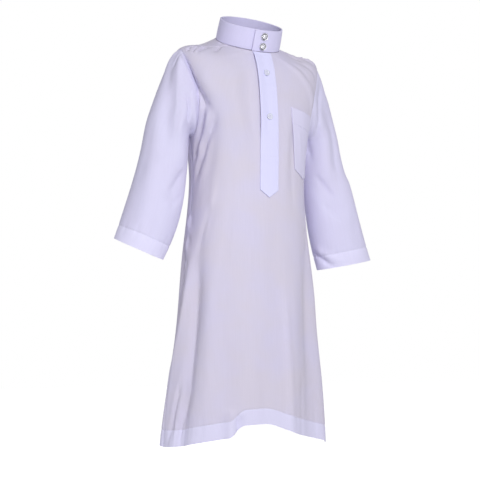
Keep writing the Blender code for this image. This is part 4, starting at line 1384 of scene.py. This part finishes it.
# Placket buttons
# Two flat four-hole shirt buttons of clear to pearly polyester resin, turned with a dished middle and sewn on
# with white thread crossed through the holes.

BUTTON_DIAMETER = 11.5 * MM
BUTTON_RINGS = 34
BUTTON_LENGTHS = {"placket_button_upper": 44.5 * MM, "placket_button_lower": 124 * MM}
BUTTON_HOLE_REACH = 1.5 * MM
BUTTON_HOLE_RADIUS = 0.75 * MM


def pearl_resin():
    """Polyester resin with pearl flake: glossy and a little milky, its colour clouded in soft bands."""
    made, tree, shader, where = start_material("pearl polyester resin")
    clouds = ranged(tree, noise(tree, where, 260.0, 2.0, 1.5), 0.0, 1.0, 0.35, 0.65)
    look = {
        "Base Color": mixed(tree, clouds, linear("#cfd3ea"), linear("#eeeffb")),
        "Roughness": 0.16,
        "IOR": 1.55,
        "Coat Weight": 0.5,
        "Coat Roughness": 0.06,
        "Transmission Weight": 0.1,
    }
    feed(tree, shader, look)
    return made


def button_height(radius, turn):
    """The button's face: a rounded rim, a dished middle and a pit at each of four holes."""
    r = radius / (BUTTON_DIAMETER / 2)
    rim = 2.2 - 0.5 * ramp((0.72 - r) / 0.12)
    edge = 0.5 * ramp((r - 0.88) / 0.12)
    height = (rim - edge) * MM
    x = radius * np.cos(turn)
    y = radius * np.sin(turn)
    for sx in (-1, 1):
        for sy in (-1, 1):
            gap = np.hypot(x - sx * BUTTON_HOLE_REACH, y - sy * BUTTON_HOLE_REACH) / BUTTON_HOLE_RADIUS
            height = height - 1.1 * MM * bell(gap**2)
    return height


PEARL = pearl_resin()
button_radii = np.concatenate([np.linspace(0.04, 0.98, BUTTON_RINGS), [1.0, 0.96, 0.85, 0.4]])
button_radii = button_radii * BUTTON_DIAMETER / 2
button_heights = [button_height] * BUTTON_RINGS + [1.2 * MM, 0.5 * MM, 0.0, 0.0]
for node, length in BUTTON_LENGTHS.items():
    angle, down = np.array(math.pi / 2), front_down(length)
    button_axis = normals_of(plain_cloth, angle, down)
    button_centre = plain_cloth(angle, down) + button_axis * (LAID_GAP + PLACKET_WALL + SEAM_GAP)
    button = disc(node + "_pearl", button_centre, button_axis, button_radii, button_heights, PEARL)
    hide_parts(node)
    up = upward(button_axis)
    side = np.cross(up, button_axis)
    strands = []
    for sign in (-1, 1):
        reach = np.linspace(-1, 1, 9)
        arch = 1.75 * MM - 1.1 * MM * reach**4
        path = (
            button_centre
            + side * sign * BUTTON_HOLE_REACH
            + up * (reach * BUTTON_HOLE_REACH * 1.05)[:, None]
            + button_axis * arch[:, None]
        )
        turn = np.arange(6) * math.pi / 3
        run = unit(np.gradient(path, axis=0))
        out = unit(button_axis - run * np.sum(button_axis * run, axis=-1, keepdims=True))
        aside = np.cross(run, out)
        ring = path[:, None] + 0.3 * MM * (
            np.cos(turn)[None, :, None] * out[:, None] + 1.6 * np.sin(turn)[None, :, None] * aside[:, None]
        )
        strands.append(ring)
    points = np.concatenate([strand.reshape(-1, 3) for strand in strands])
    faces = []
    for start in (0, 54):
        ids = np.arange(54).reshape(9, 6) + start
        faces += [tuple(face) for face in grid_faces(ids, True)]
        faces += [tuple(ids[0][::-1]), tuple(ids[-1])]
    button_thread = add_object(node + "_thread", points, faces, THREAD)

# Studio
# A plain pale floor where the wearer's feet would stand, soft light from panels in front, at the robe's right
# and behind, under a sky that darkens towards its zenith, and the photograph's view: from the wearer's front
# right, level with the skirt, aimed a little up.

FLOOR_Z = -0.93
VIEW_TURN = 28.0 * DEGREE
VIEW_DISTANCE = 2.5
VIEW_HEIGHT = -0.54
VIEW_PITCH = 4.2 * DEGREE
VIEW_ASIDE = 0.31 * DEGREE
VIEW_FOCAL = 104.5


def floor_material():
    """Matt white vinyl studio floor, very slightly mottled."""
    made, tree, shader, where = start_material("white studio vinyl")
    look = {
        "Base Color": mixed(tree, noise(tree, where, 3.0, 2.0), linear("#f6f6f8"), linear("#fafafb")),
        "Roughness": 0.9,
        "Emission Color": (1, 1, 1, 1),
        "Emission Strength": 0.75,
    }
    feed(tree, shader, look)
    return made


floor_points = [(-9, -9, FLOOR_Z), (9, -9, FLOOR_Z), (9, 9, FLOOR_Z), (-9, 9, FLOOR_Z)]
floor_mesh = bpy.data.meshes.new("studio_floor")
floor_mesh.from_pydata(floor_points, [], [(0, 1, 2, 3)])
floor_mesh.materials.append(floor_material())
studio_floor = bpy.data.objects.new("studio_floor", floor_mesh)
bpy.context.scene.collection.objects.link(studio_floor)
studio_floor.visible_diffuse = False

scene = bpy.context.scene
scene.view_settings.view_transform = "Standard"
world = bpy.data.worlds.new("pale studio")
scene.world = world
world.use_nodes = True
tree = world.node_tree
sky = tree.nodes["Background"]
sky_way = add_node(tree, "ShaderNodeTexCoord").outputs["Generated"]
sky_height = add_node(tree, "ShaderNodeSeparateXYZ", {0: sky_way}).outputs["Z"]
feed(tree, sky, {"Strength": ranged(tree, sky_height, 0.58, 0.24, 0.0, 0.9), "Color": linear("#fbfbff")})
seen = add_node(tree, "ShaderNodeBackground", {"Strength": 1.0, "Color": (1, 1, 1, 1)})
seen_or_sky = {
    0: add_node(tree, "ShaderNodeLightPath").outputs["Is Camera Ray"],
    1: sky.outputs["Background"],
    2: seen.outputs["Background"],
}
choose = add_node(tree, "ShaderNodeMixShader", seen_or_sky)
feed(tree, tree.nodes["World Output"], {"Surface": choose.outputs["Shader"]})


def light_panel(name, place, target, size, power):
    """A square softbox aimed at a point."""
    data = bpy.data.lights.new(name, "AREA")
    data.shape = "SQUARE"
    data.size = size
    data.energy = power
    lamp = bpy.data.objects.new(name, data)
    lamp.location = place
    aim = np.array(target) - np.array(place)
    lamp.rotation_euler = (
        math.atan2(math.hypot(aim[0], aim[1]), -aim[2]),
        0,
        math.atan2(aim[1], aim[0]) - math.pi / 2,
    )
    scene.collection.objects.link(lamp)


light_panel("key panel", (-0.5, -2.5, 0.7), (0, 0, -0.35), 0.7, 42)
light_panel("left fill panel", (-2.4, -0.7, 0.1), (0, 0, -0.35), 1.2, 4.0)
light_panel("back panel light", (0.8, 2.6, 0.8), (0, 0, -0.35), 1.0, 26)

camera_data = bpy.data.cameras.new("photograph view")
camera_data.lens = VIEW_FOCAL
camera_data.sensor_width = 36
camera = bpy.data.objects.new("photograph view", camera_data)
camera.location = (
    -math.sin(VIEW_TURN) * VIEW_DISTANCE,
    -math.cos(VIEW_TURN) * VIEW_DISTANCE,
    VIEW_HEIGHT,
)
camera.rotation_euler = (math.pi / 2 + VIEW_PITCH, 0, -VIEW_TURN + VIEW_ASIDE)
scene.collection.objects.link(camera)
scene.camera = camera
